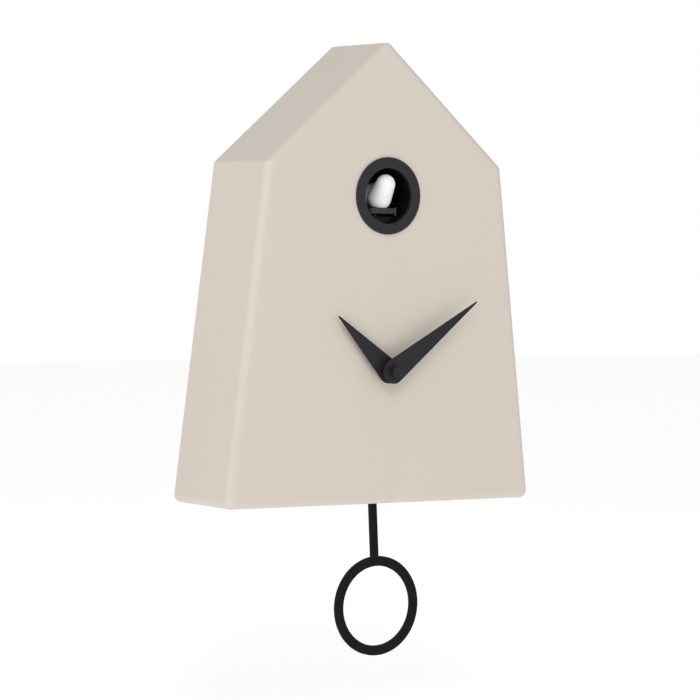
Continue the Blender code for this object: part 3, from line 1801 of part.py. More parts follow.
join(
    setting_knob,
    arbor(
        "knob_shaft",
        None,
        PIVOT_RADIUS * 1.5,
        KNOB_REAR + KNOB_LENGTH - 1 * MM,
        MOTION_WHEEL_HIGH,
        SETTING,
    ),
    wheel(
        "setting_pinion",
        None,
        SETTING_PINION_TEETH,
        MOTION_MODULE,
        SETTING_PHASE,
        MOTION_WHEEL_LOW - 0.2 * MM,
        MOTION_WHEEL_HIGH + 0.3 * MM,
        SETTING,
    ),
)

# Stepper coil and its core, the circuit board
COIL_X = -19 * MM
COIL_BASE = -22 * MM
COIL_TOP = 0 * MM
COIL_RADIUS = 3.6 * MM
COIL_OUT = CASE_FRONT - CASE_WALL - GAP - COIL_RADIUS - 1.2 * MM
plate(
    "stepper_core",
    steel,
    [rectangle(COIL_X - 4 * MM, COIL_X + 7 * MM, COIL_BASE - 4 * MM, COIL_TOP + 10 * MM, 1 * MM, 2)]
    + [
        rectangle(
            COIL_X - COIL_RADIUS * 0.4 + 2.5 * MM,
            COIL_X + 5 * MM,
            COIL_BASE - 1 * MM,
            COIL_TOP + 2 * MM,
            0.5 * MM,
            2,
        )
    ],
    COIL_OUT - 0.5 * MM,
    COIL_OUT + 0.5 * MM,
    location=(0, HAND_HEIGHT, 0),
)
coil_hole = box(
    "coil_core_hole",
    None,
    (COIL_X - 4 * MM - GAP, HAND_HEIGHT + COIL_BASE - 5 * MM, COIL_OUT - 0.5 * MM - GAP),
    (
        COIL_X - COIL_RADIUS * 0.4 + 2.5 * MM + GAP,
        HAND_HEIGHT + COIL_TOP + 5 * MM,
        COIL_OUT + 0.5 * MM + GAP,
    ),
)
coil = cylinder(
    "stepper_coil",
    copper,
    COIL_RADIUS,
    COIL_BASE,
    COIL_TOP,
    18,
    "Y",
    location=(COIL_X - 0.7 * MM, HAND_HEIGHT, COIL_OUT),
)
cut(coil, coil_hole)
box(
    "movement_board",
    board_green,
    (8 * MM, THIRD[1] - 9 * MM, SECOND_WHEEL_LOW),
    (
        CASE_WIDTH / 2 - CASE_WALL - 1 * MM,
        HAND_HEIGHT + CASE_ABOVE - CASE_WALL - 1 * MM,
        SECOND_WHEEL_HIGH,
    ),
)

# ---------------------------------------------------------------- hands


def hand_outline(length):
    """A flat dagger that points up: a round hub whose tangents run to a blunt tip."""
    half_tip = HAND_TIP_WIDTH / 2
    lean = math.asin((HAND_HUB_RADIUS - half_tip) / length)
    points = []
    for i in range(21):
        angle = math.pi - lean + (math.pi + 2 * lean) * i / 20
        points.append((HAND_HUB_RADIUS * math.cos(angle), HAND_HUB_RADIUS * math.sin(angle)))
    points += [(half_tip, length - half_tip), (0, length), (-half_tip, length - half_tip)]
    return points


def hand(name, length, out, angle, bore):
    """A hand at its angle, which is clockwise from twelve."""
    return plate(
        name,
        black_metal,
        [hand_outline(length), circle(bore, sides=16)],
        out,
        out + HAND_THICKNESS,
        location=(0, HAND_HEIGHT, 0),
        rotation=(0, 0, -angle),
    )


hand("hour_hand", HOUR_LENGTH, HOUR_HAND_OUT, HOUR_ANGLE, HOUR_TUBE_RADIUS + 0.1 * MM)
hand("minute_hand", MINUTE_LENGTH, MINUTE_HAND_OUT, MINUTE_ANGLE, ARBOR_RADIUS + 0.1 * MM)
CAP_LOW = MINUTE_HAND_OUT + HAND_THICKNESS + GAP
CAP_HIGH = CAP_LOW + CAP_HEIGHT
turned(
    "hand_cap",
    black_metal,
    [
        (0, CAP_HIGH),
        (CAP_RADIUS - 0.6 * MM, CAP_HIGH),
        (CAP_RADIUS, CAP_HIGH - 0.6 * MM),
        (CAP_RADIUS, CAP_LOW),
        (ARBOR_RADIUS + 0.2 * MM, CAP_LOW),
        (ARBOR_RADIUS + 0.2 * MM, MINUTE_TIP + GAP),
        (0, MINUTE_TIP + GAP),
    ],
    steps=24,
    closed=False,
    location=(0, HAND_HEIGHT, 0),
)

# ---------------------------------------------------------------- pendulum

pivot = new_empty("pendulum_pivot", face, (0, PIVOT_HEIGHT, 0), (0, 0, PENDULUM_SWING))
EYE_RADIUS = 4.5 * MM
LEVER_HALF = 4 * MM
COIL_DROP = 38 * MM


def lever_outline():
    """The pendulum's lever: an eye on the pin, straight sides, a round foot past the hook."""
    foot = -HOOK_DROP - 4 * MM
    points = []
    for i in range(9):
        angle = math.pi * i / 8
        points.append((EYE_RADIUS * math.cos(angle), EYE_RADIUS * math.sin(angle)))
    for i in range(9):
        angle = math.pi + math.pi * i / 8
        points.append((LEVER_HALF * math.cos(angle), foot + LEVER_HALF * math.sin(angle)))
    return points


lever = plate(
    "pendulum_lever",
    black_plastic,
    [lever_outline(), circle(PIVOT_PIN_RADIUS + 0.15 * MM, sides=16)],
    LEVER_REAR,
    HANGER_OUT,
    parent=pivot,
)
join(
    lever,
    cylinder(
        "lever_hook",
        None,
        HOOK_RADIUS,
        PENDULUM_REAR - 1.2 * MM,
        LEVER_REAR + SHEET_THICKNESS / 2,
        12,
        location=(0, -HOOK_DROP, 0),
        parent=pivot,
    ),
    cylinder(
        "lever_hook_lip",
        None,
        HOOK_RADIUS + 0.8 * MM,
        PENDULUM_REAR - 1.2 * MM,
        PENDULUM_REAR - 0.5 * MM,
        12,
        location=(0, -HOOK_DROP, 0),
        parent=pivot,
    ),
)
DRIVE_MAGNET_DEPTH = 1.6 * MM
magnet_pocket = cylinder(
    "magnet_pocket",
    None,
    3 * MM + GAP,
    HANGER_OUT - DRIVE_MAGNET_DEPTH,
    HANGER_OUT + 1 * MM,
    16,
    location=(0, -COIL_DROP, 0),
    parent=pivot,
)
cut(lever, magnet_pocket)
cylinder(
    "drive_magnet",
    magnet_grey,
    3 * MM,
    HANGER_OUT - DRIVE_MAGNET_DEPTH + GAP,
    HANGER_OUT + 0.4 * MM,
    16,
    location=(0, -COIL_DROP, 0),
    parent=pivot,
)
turned(
    "drive_coil",
    copper,
    [
        (2.4 * MM, CASE_REAR_INNER + GAP + 3.4 * MM),
        (6 * MM, CASE_REAR_INNER + GAP + 3.4 * MM),
        (6 * MM, CASE_REAR_INNER + GAP),
        (2.4 * MM, CASE_REAR_INNER + GAP),
    ],
    steps=20,
    location=(0, PIVOT_HEIGHT - COIL_DROP, 0),
)
pivot_pin = arbor(
    "pivot_pin",
    steel,
    PIVOT_PIN_RADIUS,
    LEVER_REAR - GAP - 0.5 * MM,
    CASE_REAR_INNER - GAP,
    (0, PIVOT_HEIGHT),
)
join(
    pivot_pin,
    arbor(
        "pivot_pin_head",
        None,
        PIVOT_PIN_RADIUS * 2,
        LEVER_REAR - GAP - 1 * MM,
        LEVER_REAR - GAP,
        (0, PIVOT_HEIGHT),
    ),
)


def pendulum_outline():
    """A flat rod with a round top that runs into a ring, drawn below the pivot."""
    half = ROD_WIDTH / 2
    spread = math.asin(half / RING_RADIUS)
    points = []
    for i in range(49):
        angle = math.pi / 2 + spread + (2 * math.pi - 2 * spread) * i / 48
        points.append(
            (RING_RADIUS * math.cos(angle), -RING_DROP + RING_RADIUS * math.sin(angle))
        )
    for i in range(9):
        angle = math.pi * i / 8
        points.append((half * math.cos(angle), -HOOK_DROP + 1.5 * MM + half * math.sin(angle)))
    return points


plate(
    "pendulum",
    black_metal,
    [
        pendulum_outline(),
        circle(RING_HOLE_RADIUS, 0, -RING_DROP, 40),
        circle(HOOK_RADIUS + 0.2 * MM, 0, -HOOK_DROP, 12),
    ],
    PENDULUM_REAR,
    PENDULUM_FRONT,
    parent=pivot,
)
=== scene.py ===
"""A house-shaped cuckoo clock with a ring pendulum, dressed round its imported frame."""

import logging
import math
from dataclasses import dataclass, field
from enum import Enum
from typing import Callable, Sequence

import bmesh
import bpy
from mathutils import Matrix, Vector


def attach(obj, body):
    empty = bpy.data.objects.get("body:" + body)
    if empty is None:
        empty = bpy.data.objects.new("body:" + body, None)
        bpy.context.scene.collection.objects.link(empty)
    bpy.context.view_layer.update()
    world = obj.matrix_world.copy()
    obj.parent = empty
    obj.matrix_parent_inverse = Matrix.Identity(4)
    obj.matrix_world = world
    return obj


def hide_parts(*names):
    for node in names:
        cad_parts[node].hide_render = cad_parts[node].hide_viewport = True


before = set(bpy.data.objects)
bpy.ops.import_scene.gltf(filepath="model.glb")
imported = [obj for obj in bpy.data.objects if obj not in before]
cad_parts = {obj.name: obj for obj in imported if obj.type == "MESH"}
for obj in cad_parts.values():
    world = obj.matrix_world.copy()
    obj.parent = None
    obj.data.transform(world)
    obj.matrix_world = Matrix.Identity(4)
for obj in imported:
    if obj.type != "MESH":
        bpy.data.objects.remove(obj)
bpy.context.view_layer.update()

LOG = logging.getLogger("cuckoo_clock")
MM = 0.001
Point2 = tuple[float, float]
Point3 = tuple[float, float, float]
Colour = tuple[float, float, float, float]
WHITE: Colour = (1.0, 1.0, 1.0, 1.0)
# Millimetres. Heights are above the body's underside, and a middle is (across, up).
BODY_DEPTH = 74.5
ORIGIN_UP = 290
WINDOW_UP = 226.5
WINDOW_RADIUS = 20.4
HANDS_UP = 98.0
CHASSIS_SCREW_UP = 189.2
CHASSIS_SCREW_ACROSS = 21.0
SCREW_INSET = 14
BATTERY_MIDDLE = (56.0, 165.0)
SPEAKER_MIDDLE = (-58.0, 165.0)
# Metres.
FACE_Y = -BODY_DEPTH * MM
UNDERSIDE_Z = -ORIGIN_UP * MM


def tone(red: int, green: int, blue: int) -> Colour:
    """A display colour, 0 to 255, as the linear colour that a shader takes.

    Args:
        red: Red, 0 to 255.
        green: Green, 0 to 255.
        blue: Blue, 0 to 255.

    Returns:
        The linear colour with full alpha.
    """

    def linear(level: float) -> float:
        """One channel made linear."""
        return level / 12.92 if level <= 0.04045 else ((level + 0.055) / 1.055) ** 2.4

    return (linear(red / 255), linear(green / 255), linear(blue / 255), 1.0)


# ------------------------------------------------------------------ node graphs


class Value:
    """A node's output; arithmetic on it adds Math nodes."""

    def __init__(self, graph: "Graph", socket: bpy.types.NodeSocket) -> None:
        """Wraps a socket of a graph."""
        self.graph = graph
        self.socket = socket

    def _math(self, operation: str, first: "Value | float", second: "Value | float") -> "Value":
        """A Math node on two values."""
        return self.graph.node("ShaderNodeMath", {"operation": operation}, {0: first, 1: second})

    def __add__(self, other: "Value | float") -> "Value":
        """self + other."""
        return self._math("ADD", self, other)

    __radd__ = __add__

    def __mul__(self, other: "Value | float") -> "Value":
        """self * other."""
        return self._math("MULTIPLY", self, other)

    __rmul__ = __mul__

    def __sub__(self, other: "Value | float") -> "Value":
        """self - other."""
        return self._math("SUBTRACT", self, other)

    def __rsub__(self, other: "Value | float") -> "Value":
        """other - self."""
        return self._math("SUBTRACT", other, self)

    def __truediv__(self, other: "Value | float") -> "Value":
        """self / other."""
        return self._math("DIVIDE", self, other)

    def __pow__(self, other: "Value | float") -> "Value":
        """self ** other."""
        return self._math("POWER", self, other)

    def above(self, level: float) -> "Value":
        """1 where this is greater than the level, else 0."""
        return self._math("GREATER_THAN", self, level)

    def sine(self) -> "Value":
        """The sine of this value in radians."""
        return self._math("SINE", self, 0.0)


class Graph:
    """A node tree being built: every node but the arithmetic comes from node()."""

    def __init__(self, tree: bpy.types.NodeTree) -> None:
        """Starts on a tree, shader or geometry."""
        self.tree = tree

    def node(
        self,
        kind: str,
        settings: dict[str, object] | None = None,
        sockets: dict[str | int, object] | None = None,
        output: str | int = 0,
    ) -> Value:
        """Adds a node, sets it up, then fills its sockets.

        Args:
            kind: Blender's name of the node's type.
            settings: The node's own settings; "stops" are a ramp's positions and colours.
            sockets: Values or links by socket name or number.
            output: The output to hand back.

        Returns:
            The chosen output.
        """
        made = self.tree.nodes.new(kind)
        for key, setting in (settings or {}).items():
            if key == "stops":
                self._set_stops(made.color_ramp, setting)
            else:
                setattr(made, key, setting)
        for key, given in (sockets or {}).items():
            if isinstance(given, Value):
                self.tree.links.new(given.socket, made.inputs[key])
            else:
                made.inputs[key].default_value = given
        return Value(self, made.outputs[output]) if made.outputs else Value(self, None)

    @staticmethod
    def _set_stops(ramp: bpy.types.ColorRamp, stops: Sequence[tuple[float, Colour]]) -> None:
        """Gives a colour ramp its stops.

        Args:
            ramp: The ramp.
            stops: Positions and colours.
        """
        while len(ramp.elements) < len(stops):
            ramp.elements.new(1.0)
        for element, (position, colour) in zip(ramp.elements, stops):
            element.position = position
            element.color = colour


class SurfaceGraph(Graph):
    """A material's tree, with the few nodes that the finishes share."""

    def __init__(self, name: str) -> None:
        """Makes an empty material of this name.

        Args:
            name: The material's name.
        """
        self.material = bpy.data.materials.new(name)
        self.material.use_nodes = True
        self.material.node_tree.nodes.clear()
        super().__init__(self.material.node_tree)

    def place(self, scale: Point3 = (1, 1, 1), turn: Point3 = (0, 0, 0)) -> Value:
        """Object coordinates, stretched and turned."""
        where = self.node("ShaderNodeTexCoord", output="Object")
        sockets = {"Vector": where, "Scale": scale, "Rotation": turn}
        return self.node("ShaderNodeMapping", None, sockets)

    def axes(self, where: Value) -> tuple[Value, Value, Value]:
        """A vector's x, y and z."""
        split = self.tree.nodes.new("ShaderNodeSeparateXYZ")
        self.tree.links.new(where.socket, split.inputs[0])
        return tuple(Value(self, output) for output in split.outputs)

    def noise(self, where: Value, scale: float, detail: float = 3.0, rough: float = 0.5) -> Value:
        """Noise from 0 to 1."""
        sockets = {"Vector": where, "Scale": scale, "Detail": detail, "Roughness": rough}
        return self.node("ShaderNodeTexNoise", None, sockets)

    def cells(self, where: Value, scale: float) -> Value:
        """Distance to the nearest of many scattered points."""
        return self.node("ShaderNodeTexVoronoi", None, {"Vector": where, "Scale": scale})

    def vector(
        self, operation: str, first: object, second: object = None, output: str | int = 0
    ) -> Value:
        """A Vector Math node."""
        sockets = {0: first} if second is None else {0: first, 1: second}
        return self.node("ShaderNodeVectorMath", {"operation": operation}, sockets, output)

    def soften(self, value: Value, low: float, high: float) -> Value:
        """0 below low, 1 above high, smooth between."""
        settings = {"interpolation_type": "SMOOTHSTEP"}
        return self.node("ShaderNodeMapRange", settings, {0: value, 1: low, 2: high})

    def mix(self, factor: Value, first: object, second: object) -> Value:
        """A colour between two, by a factor."""
        sockets = {0: factor, 6: first, 7: second}
        return self.node("ShaderNodeMix", {"data_type": "RGBA"}, sockets, 2)

    def bump(self, height: Value, distance: float, strength: float = 1.0) -> Value:
        """A normal from a height, in metres of depth."""
        sockets = {"Height": height, "Distance": distance, "Strength": strength}
        return self.node("ShaderNodeBump", None, sockets)

    def finish(self, **inputs: object) -> bpy.types.Material:
        """Ends the tree in a Principled shader.

        Args:
            inputs: The shader's sockets, with _ for each space.

        Returns:
            The finished material.
        """
        words = {"Specular_Level": "Specular IOR Level"}
        sockets = {words.get(key, key.replace("_", " ")): given for key, given in inputs.items()}
        surface = self.node("ShaderNodeBsdfPrincipled", None, sockets)
        self.node("ShaderNodeOutputMaterial", None, {"Surface": surface})
        return self.material


# ------------------------------------------------------------------ finishes

_MADE: dict[str, bpy.types.Material] = {}


@dataclass(frozen=True)
class Finish:
    """A named surface; material() builds it once and keeps it."""

    name: str

    def material(self) -> bpy.types.Material:
        """The finish's material, made at its first use."""
        if self.name not in _MADE:
            _MADE[self.name] = self.build(SurfaceGraph(self.name))
        return _MADE[self.name]

    def build(self, graph: SurfaceGraph) -> bpy.types.Material:
        """Builds the material in an empty graph."""
        raise NotImplementedError


@dataclass(frozen=True)
class MouldedPlastic(Finish):
    """Plastic out of a textured mould: fine grain, faint flow marks, slightly uneven gloss."""

    colour: Colour
    shade: Colour
    roughness: float
    grain_size: float = 0.5 * MM
    grain_depth: float = 0.01 * MM
    flow: float = 0.35
    specular: float = 0.5

    def build(self, graph: SurfaceGraph) -> bpy.types.Material:
        """Grain as bump, flow marks as colour and gloss.

        Args:
            graph: An empty graph.

        Returns:
            The finished material.
        """
        where = graph.place()
        stretched = graph.place((9.0, 9.0, 4.0))
        flow = graph.soften(graph.noise(stretched, 1.6, 4.0, 0.6), 0.3, 0.75)
        grain = graph.noise(where, 1 / self.grain_size, 2.0, 0.55)
        peel = graph.noise(where, 1 / (9 * self.grain_size), 2.0, 0.5)
        specks = graph.soften(graph.cells(where, 0.35 / self.grain_size), 0.0, 0.12)
        colour = graph.mix(flow * self.flow + (1 - specks) * 0.12, self.colour, self.shade)
        roughness = (grain - 0.5) * 0.10 + (flow - 0.5) * 0.06 + self.roughness
        height = grain * 0.7 + peel * 1.6
        return graph.finish(
            Base_Color=colour,
            Roughness=roughness,
            Normal=graph.bump(height, self.grain_depth),
            Specular_Level=self.specular,
        )


@dataclass(frozen=True)
class PaintedShadeBore(MouldedPlastic):
    """Textured black plastic with painted shade: blacker on the wall of its bore than on its face.
    """

    centre: Point2 = (0.0, 0.0)
    bore: float = 20.7 * MM
    mouth: float = 0.0
    wall_start: float = 0.9 * MM
    wall_full: float = 0.6 * MM
    wall_end: float = 0.2 * MM
    fade: float = 2 * MM
    # Painted shade: the colour laid on the bore's wall, where little light reaches.
    painted_bore_shade: Colour = (0.002, 0.002, 0.002, 1.0)

    def build(self, graph: SurfaceGraph) -> bpy.types.Material:
        """The plain finish with painted shade: its base colour darkened on the wall of the bore.

        Args:
            graph: An empty graph.

        Returns:
            The finished material.
        """
        material = super().build(graph)
        across, depth_in, rise = graph.axes(graph.place())
        gap_x, gap_z = across - self.centre[0], rise - self.centre[1]
        radius = (gap_x * gap_x + gap_z * gap_z) ** 0.5
        shade_near_wall = graph.soften(radius, self.bore - self.wall_start, self.bore - self.wall_full)
        outside = graph.soften(radius, self.bore, self.bore + self.wall_end)
        deep_in = graph.soften(depth_in, self.mouth, self.mouth + self.fade)
        # Painted shade mask: the bore's wall, fading in behind the front face.
        inside = shade_near_wall * (1 - outside) * deep_in
        surface = next(n for n in graph.tree.nodes if n.type == "BSDF_PRINCIPLED")
        socket = surface.inputs["Base Color"]
        base = Value(graph, socket.links[0].from_socket)
        graph.tree.links.new(graph.mix(inside, base, self.painted_bore_shade).socket, socket)
        return material


@dataclass(frozen=True)
class PowderCoat(Finish):
    """Matte paint baked on metal: a fine pebbled skin with a few rubbed spots."""

    colour: Colour
    rubbed: Colour
    roughness: float
    pebble: float = 0.28 * MM
    specular: float = 0.4

    def build(self, graph: SurfaceGraph) -> bpy.types.Material:
        """Pebbles as bump, rubbed spots as colour and gloss.

        Args:
            graph: An empty graph.

        Returns:
            The finished material.
        """
        where = graph.place()
        pebbles = graph.cells(where, 1 / self.pebble)
        rub = graph.soften(graph.noise(where, 95.0, 5.0, 0.65), 0.56, 0.72)
        colour = graph.mix(rub * 0.35, self.colour, self.rubbed)
        roughness = self.roughness - rub * 0.08 + pebbles * 0.06
        return graph.finish(
            Base_Color=colour,
            Roughness=roughness,
            Normal=graph.bump(pebbles, 0.012 * MM, 0.8),
            Specular_Level=self.specular,
        )


@dataclass(frozen=True)
class TurnedMetal(Finish):
    """Metal off a lathe or a press: fine tool lines, darker where it is handled or stained."""

    colour: Colour
    stain: Colour
    roughness: float
    line_pitch: float = 0.12 * MM
    along: Point3 = (1.0, 12.0, 1.0)

    def build(self, graph: SurfaceGraph) -> bpy.types.Material:
        """Lines as bump, stains as colour and gloss.

        Args:
            graph: An empty graph.

        Returns:
            The finished material.
        """
        where = graph.place(self.along)
        lines = graph.noise(where, 0.1 / self.line_pitch, 3.0, 0.6)
        stain = graph.soften(graph.noise(graph.place(), 160.0, 4.0, 0.6), 0.45, 0.75)
        colour = graph.mix(stain * 0.5, self.colour, self.stain)
        roughness = stain * 0.16 + lines * 0.10 + self.roughness
        return graph.finish(
            Base_Color=colour,
            Metallic=1.0,
            Roughness=roughness,
            Normal=graph.bump(lines, 0.006 * MM, 0.7),
        )


@dataclass(frozen=True)
class Winding(Finish):
    """Layers of fine enamelled wire."""

    colour: Colour
    # Painted shade for the valleys between the wires.
    gap: Colour
    wire: float = 0.12 * MM
    turn: Point3 = (0.0, 0.0, 0.0)

    def build(self, graph: SurfaceGraph) -> bpy.types.Material:
        """Wires as a ridged height, with painted shade darkening the gaps between them.

        Args:
            graph: An empty graph.

        Returns:
            The finished material.
        """
        where = graph.place(turn=self.turn)
        _, across, _ = graph.axes(where)
        wobble = graph.noise(where, 900.0, 2.0) * 0.8
        ridge = (across * (2 * math.pi / self.wire) + wobble).sine() * 0.5 + 0.5
        # Painted shade: the gap colour in the valleys between the wires.
        colour = graph.mix(ridge, self.gap, self.colour)
        return graph.finish(
            Base_Color=colour,
            Metallic=0.8,
            Roughness=0.42 - ridge * 0.12,
            Normal=graph.bump(ridge, 0.03 * MM),
        )


@dataclass(frozen=True)
class RingedCone(Finish):
    """Pressed paper with rings about the speaker's axis."""

    colour: Colour
    fibre: Colour
    centre: Point3 = (0.0, 0.0, 0.0)
    ring_pitch: float = 2.4 * MM

    def build(self, graph: SurfaceGraph) -> bpy.types.Material:
        """Rings and fibres as bump.

        Args:
            graph: An empty graph.

        Returns:
            The finished material.
        """
        where = graph.node("ShaderNodeTexCoord", output="Object")
        moved = graph.vector("SUBTRACT", where, self.centre)
        flat = graph.vector("MULTIPLY", moved, (1, 0, 1))
        radius = graph.vector("LENGTH", flat, output="Value")
        rings = (radius * (2 * math.pi / self.ring_pitch)).sine() * 0.5 + 0.5
        fibres = graph.noise(where, 1400.0, 5.0, 0.7)
        colour = graph.mix(graph.soften(fibres, 0.45, 0.7), self.colour, self.fibre)
        return graph.finish(
            Base_Color=colour,
            Roughness=0.78 + fibres * 0.15,
            Normal=graph.bump(rings * 3.0 + fibres, 0.05 * MM),
        )


@dataclass(frozen=True)
class SolderMask(Finish):
    """A circuit board: lacquer over copper tracks, with bare pads."""

    lacquer: Colour
    track: Colour
    pad: Colour
    pitch: float = 2.54 * MM

    def build(self, graph: SurfaceGraph) -> bpy.types.Material:
        """Tracks from a brick pattern, pads from a dot grid.

        Args:
            graph: An empty graph.

        Returns:
            The finished material.
        """
        turned = graph.place(turn=(math.pi / 2, 0, 0))
        sockets = {"Vector": turned, "Scale": 0.5 / self.pitch, "Mortar Size": 0.07}
        tracks = graph.node("ShaderNodeTexBrick", {"offset": 0.37}, sockets, "Fac")
        across, _, rise = graph.axes(graph.place())
        turn = 2 * math.pi / self.pitch
        dots = (across * turn).sine() * (rise * turn).sine()
        pads = graph.soften(dots, 0.86, 0.9)
        colour = graph.mix(tracks * 0.6, self.lacquer, self.track)
        return graph.finish(
            Base_Color=graph.mix(pads, colour, self.pad),
            Metallic=pads * 0.9,
            Roughness=0.3 + tracks * 0.1,
            Normal=graph.bump(tracks + pads, 0.03 * MM),
        )


@dataclass(frozen=True)
class CellWrap(Finish):
    """A dry cell's plain film: a coloured length, a dark length and bare metal at both ends."""

    middle: float
    half_length: float = 25.25 * MM
    flipped: bool = False
    film: Colour = tone(44, 84, 128)
    band: Colour = tone(28, 30, 34)
    metal: Colour = tone(200, 200, 202)

    def build(self, graph: SurfaceGraph) -> bpy.types.Material:
        """Bands by the place along the cell.

        Args:
            graph: An empty graph.

        Returns:
            The finished material.
        """
        across, _, _ = graph.axes(graph.place())
        along = (across - self.middle) * (-1.0 if self.flipped else 1.0)
        band = graph.soften(along, self.half_length * 0.28, self.half_length * 0.29)
        size = graph.node("ShaderNodeMath", {"operation": "ABSOLUTE"}, {0: along})
        bare = graph.soften(size, self.half_length - 1.7 * MM, self.half_length - 1.5 * MM)
        scuff = graph.soften(graph.noise(graph.place(), 420.0, 5.0, 0.7), 0.55, 0.75)
        colour = graph.mix(bare, graph.mix(band, self.film, self.band), self.metal)
        return graph.finish(
            Base_Color=colour,
            Metallic=bare,
            Roughness=0.24 + scuff * 0.2 + bare * 0.08,
            Normal=graph.bump(scuff, 0.01 * MM),
        )


@dataclass(frozen=True)
class SoftRubber(Finish):
    """Black rubber with a bloom of dust."""

    colour: Colour
    bloom: Colour

    def build(self, graph: SurfaceGraph) -> bpy.types.Material:
        """Dust as colour over a fine grain.

        Args:
            graph: An empty graph.

        Returns:
            The finished material.
        """
        where = graph.place()
        dust = graph.soften(graph.noise(where, 260.0, 5.0, 0.7), 0.45, 0.8)
        grain = graph.noise(where, 3000.0, 2.0)
        return graph.finish(
            Base_Color=graph.mix(dust * 0.5, self.colour, self.bloom),
            Roughness=0.7 + dust * 0.2,
            Normal=graph.bump(grain, 0.01 * MM),
        )


@dataclass(frozen=True)
class ClearLens(Finish):
    """A small clear moulding that lets the shape behind it show."""

    tint: Colour

    def build(self, graph: SurfaceGraph) -> bpy.types.Material:
        """Clear, with faint moulding swirls.

        Args:
            graph: An empty graph.

        Returns:
            The finished material.
        """
        swirl = graph.noise(graph.place(), 300.0, 2.0)
        return graph.finish(
            Base_Color=self.tint,
            Roughness=swirl * 0.08 + 0.04,
            Transmission_Weight=0.85,
            IOR=1.49,
            Alpha=0.75,
        )


class Slot(Enum):
    """The record's material slots."""

    BODY = "body_plastic"
    WINDOW = "window_plastic"
    PANEL = "panel_plastic"
    CARRIAGE = "carriage_plastic"
    CONTROL = "control_plastic"
    BIRD = "bird_plastic"
    HANDS = "hand_paint"
    BRASS = "brass_parts"
    STEEL = "steel_parts"
    CAN = "motor_can"
    CASE = "case_plastic"


class Palette:
    """Every finish of this clock."""

    body = MouldedPlastic(
        "warm_grey_body",
        tone(211, 202, 191),
        tone(207, 197, 185),
        roughness=0.5,
        grain_size=0.55 * MM,
        grain_depth=0.006 * MM,
        flow=0.35,
        specular=0.3,
    )
    # The ring's bore wall gets painted shade.
    bezel = PaintedShadeBore(
        "black_window_ring",
        tone(40, 38, 41),
        tone(34, 32, 35),
        roughness=0.55,
        grain_size=0.35 * MM,
        grain_depth=0.012 * MM,
        flow=0.4,
        specular=0.25,
        centre=(0.0, (WINDOW_UP - ORIGIN_UP) * MM),
        mouth=FACE_Y,
    )
    panel = MouldedPlastic(
        "grained_back",
        tone(44, 43, 45),
        tone(34, 33, 35),
        roughness=0.6,
        grain_size=0.9 * MM,
        grain_depth=0.045 * MM,
        flow=0.5,
        specular=0.4,
    )
    carriage = MouldedPlastic(
        "satin_perch",
        tone(47, 46, 50),
        tone(38, 37, 41),
        roughness=0.42,
        grain_size=0.4 * MM,
        grain_depth=0.01 * MM,
        flow=0.4,
        specular=0.45,
    )
    control = MouldedPlastic(
        "control_plastic",
        tone(56, 55, 58),
        tone(44, 43, 46),
        roughness=0.38,
        grain_size=0.4 * MM,
        grain_depth=0.012 * MM,
    )
    door = MouldedPlastic(
        "battery_door_plastic",
        tone(48, 47, 49),
        tone(38, 37, 39),
        roughness=0.55,
        grain_size=0.8 * MM,
        grain_depth=0.035 * MM,
        flow=0.5,
        specular=0.4,
    )
    case = MouldedPlastic(
        "movement_case",
        tone(42, 42, 44),
        tone(30, 30, 32),
        roughness=0.4,
        grain_size=0.7 * MM,
        grain_depth=0.02 * MM,
    )
    bird = MouldedPlastic(
        "white_bird",
        tone(243, 243, 243),
        tone(236, 237, 239),
        roughness=0.5,
        grain_size=0.35 * MM,
        grain_depth=0.008 * MM,
        flow=0.25,
    )
    gears = MouldedPlastic(
        "natural_acetal",
        tone(236, 231, 214),
        tone(222, 216, 197),
        roughness=0.32,
        grain_size=0.3 * MM,
        grain_depth=0.006 * MM,
    )
    hands = PowderCoat(
        "black_hand_paint", tone(34, 32, 36), tone(44, 42, 45), roughness=0.52, specular=0.25
    )
    pendulum = PowderCoat(
        "black_pendulum_paint", tone(17, 15, 17), tone(30, 28, 30), roughness=0.5, specular=0.12
    )
    brass = TurnedMetal("turned_brass", tone(250, 200, 96), tone(214, 156, 66), 0.3)
    steel = TurnedMetal("plated_steel", tone(206, 206, 208), tone(160, 160, 158), 0.26)
    can = TurnedMetal("drawn_can", tone(196, 196, 198), tone(150, 150, 150), 0.3, 0.2 * MM)
    # Each winding's second colour is painted shade between its wires.
    copper = Winding("stepper_winding", tone(196, 108, 62), tone(96, 44, 24))
    coil = Winding("drive_winding", tone(196, 108, 62), tone(96, 44, 24))
    ferrite = PowderCoat("sintered_ferrite", tone(66, 65, 67), tone(96, 94, 95), 0.58, 0.4 * MM)
    rubber = SoftRubber("washer_rubber", tone(26, 26, 26), tone(74, 72, 70))
    board = SolderMask("green_board", tone(20, 84, 52), tone(34, 112, 66), tone(206, 196, 170))
    lens = ClearLens("sensor_lens", tone(235, 240, 242))


# ------------------------------------------------------------------ geometry helpers


def fresh_object(name: str, work: bmesh.types.BMesh) -> bpy.types.Object:
    """Turns a mesh in the making into a linked object.

    Args:
        name: The piece's name.
        work: The mesh, which is freed.

    Returns:
        The new object, at the origin.
    """
    mesh = bpy.data.meshes.new(name)
    work.to_mesh(mesh)
    work.free()
    made = bpy.data.objects.new(name, mesh)
    bpy.context.scene.collection.objects.link(made)
    return made


def baked(piece: bpy.types.Object) -> bpy.types.Object:
    """Replaces a piece's mesh by what its modifiers make of it, and removes them.

    Args:
        piece: An object with modifiers.

    Returns:
        The same object.
    """
    graph = bpy.context.evaluated_depsgraph_get()
    mesh = bpy.data.meshes.new_from_object(piece.evaluated_get(graph))
    old = piece.data
    piece.modifiers.clear()
    piece.data = mesh
    mesh.name = piece.name
    bpy.data.meshes.remove(old)
    return piece


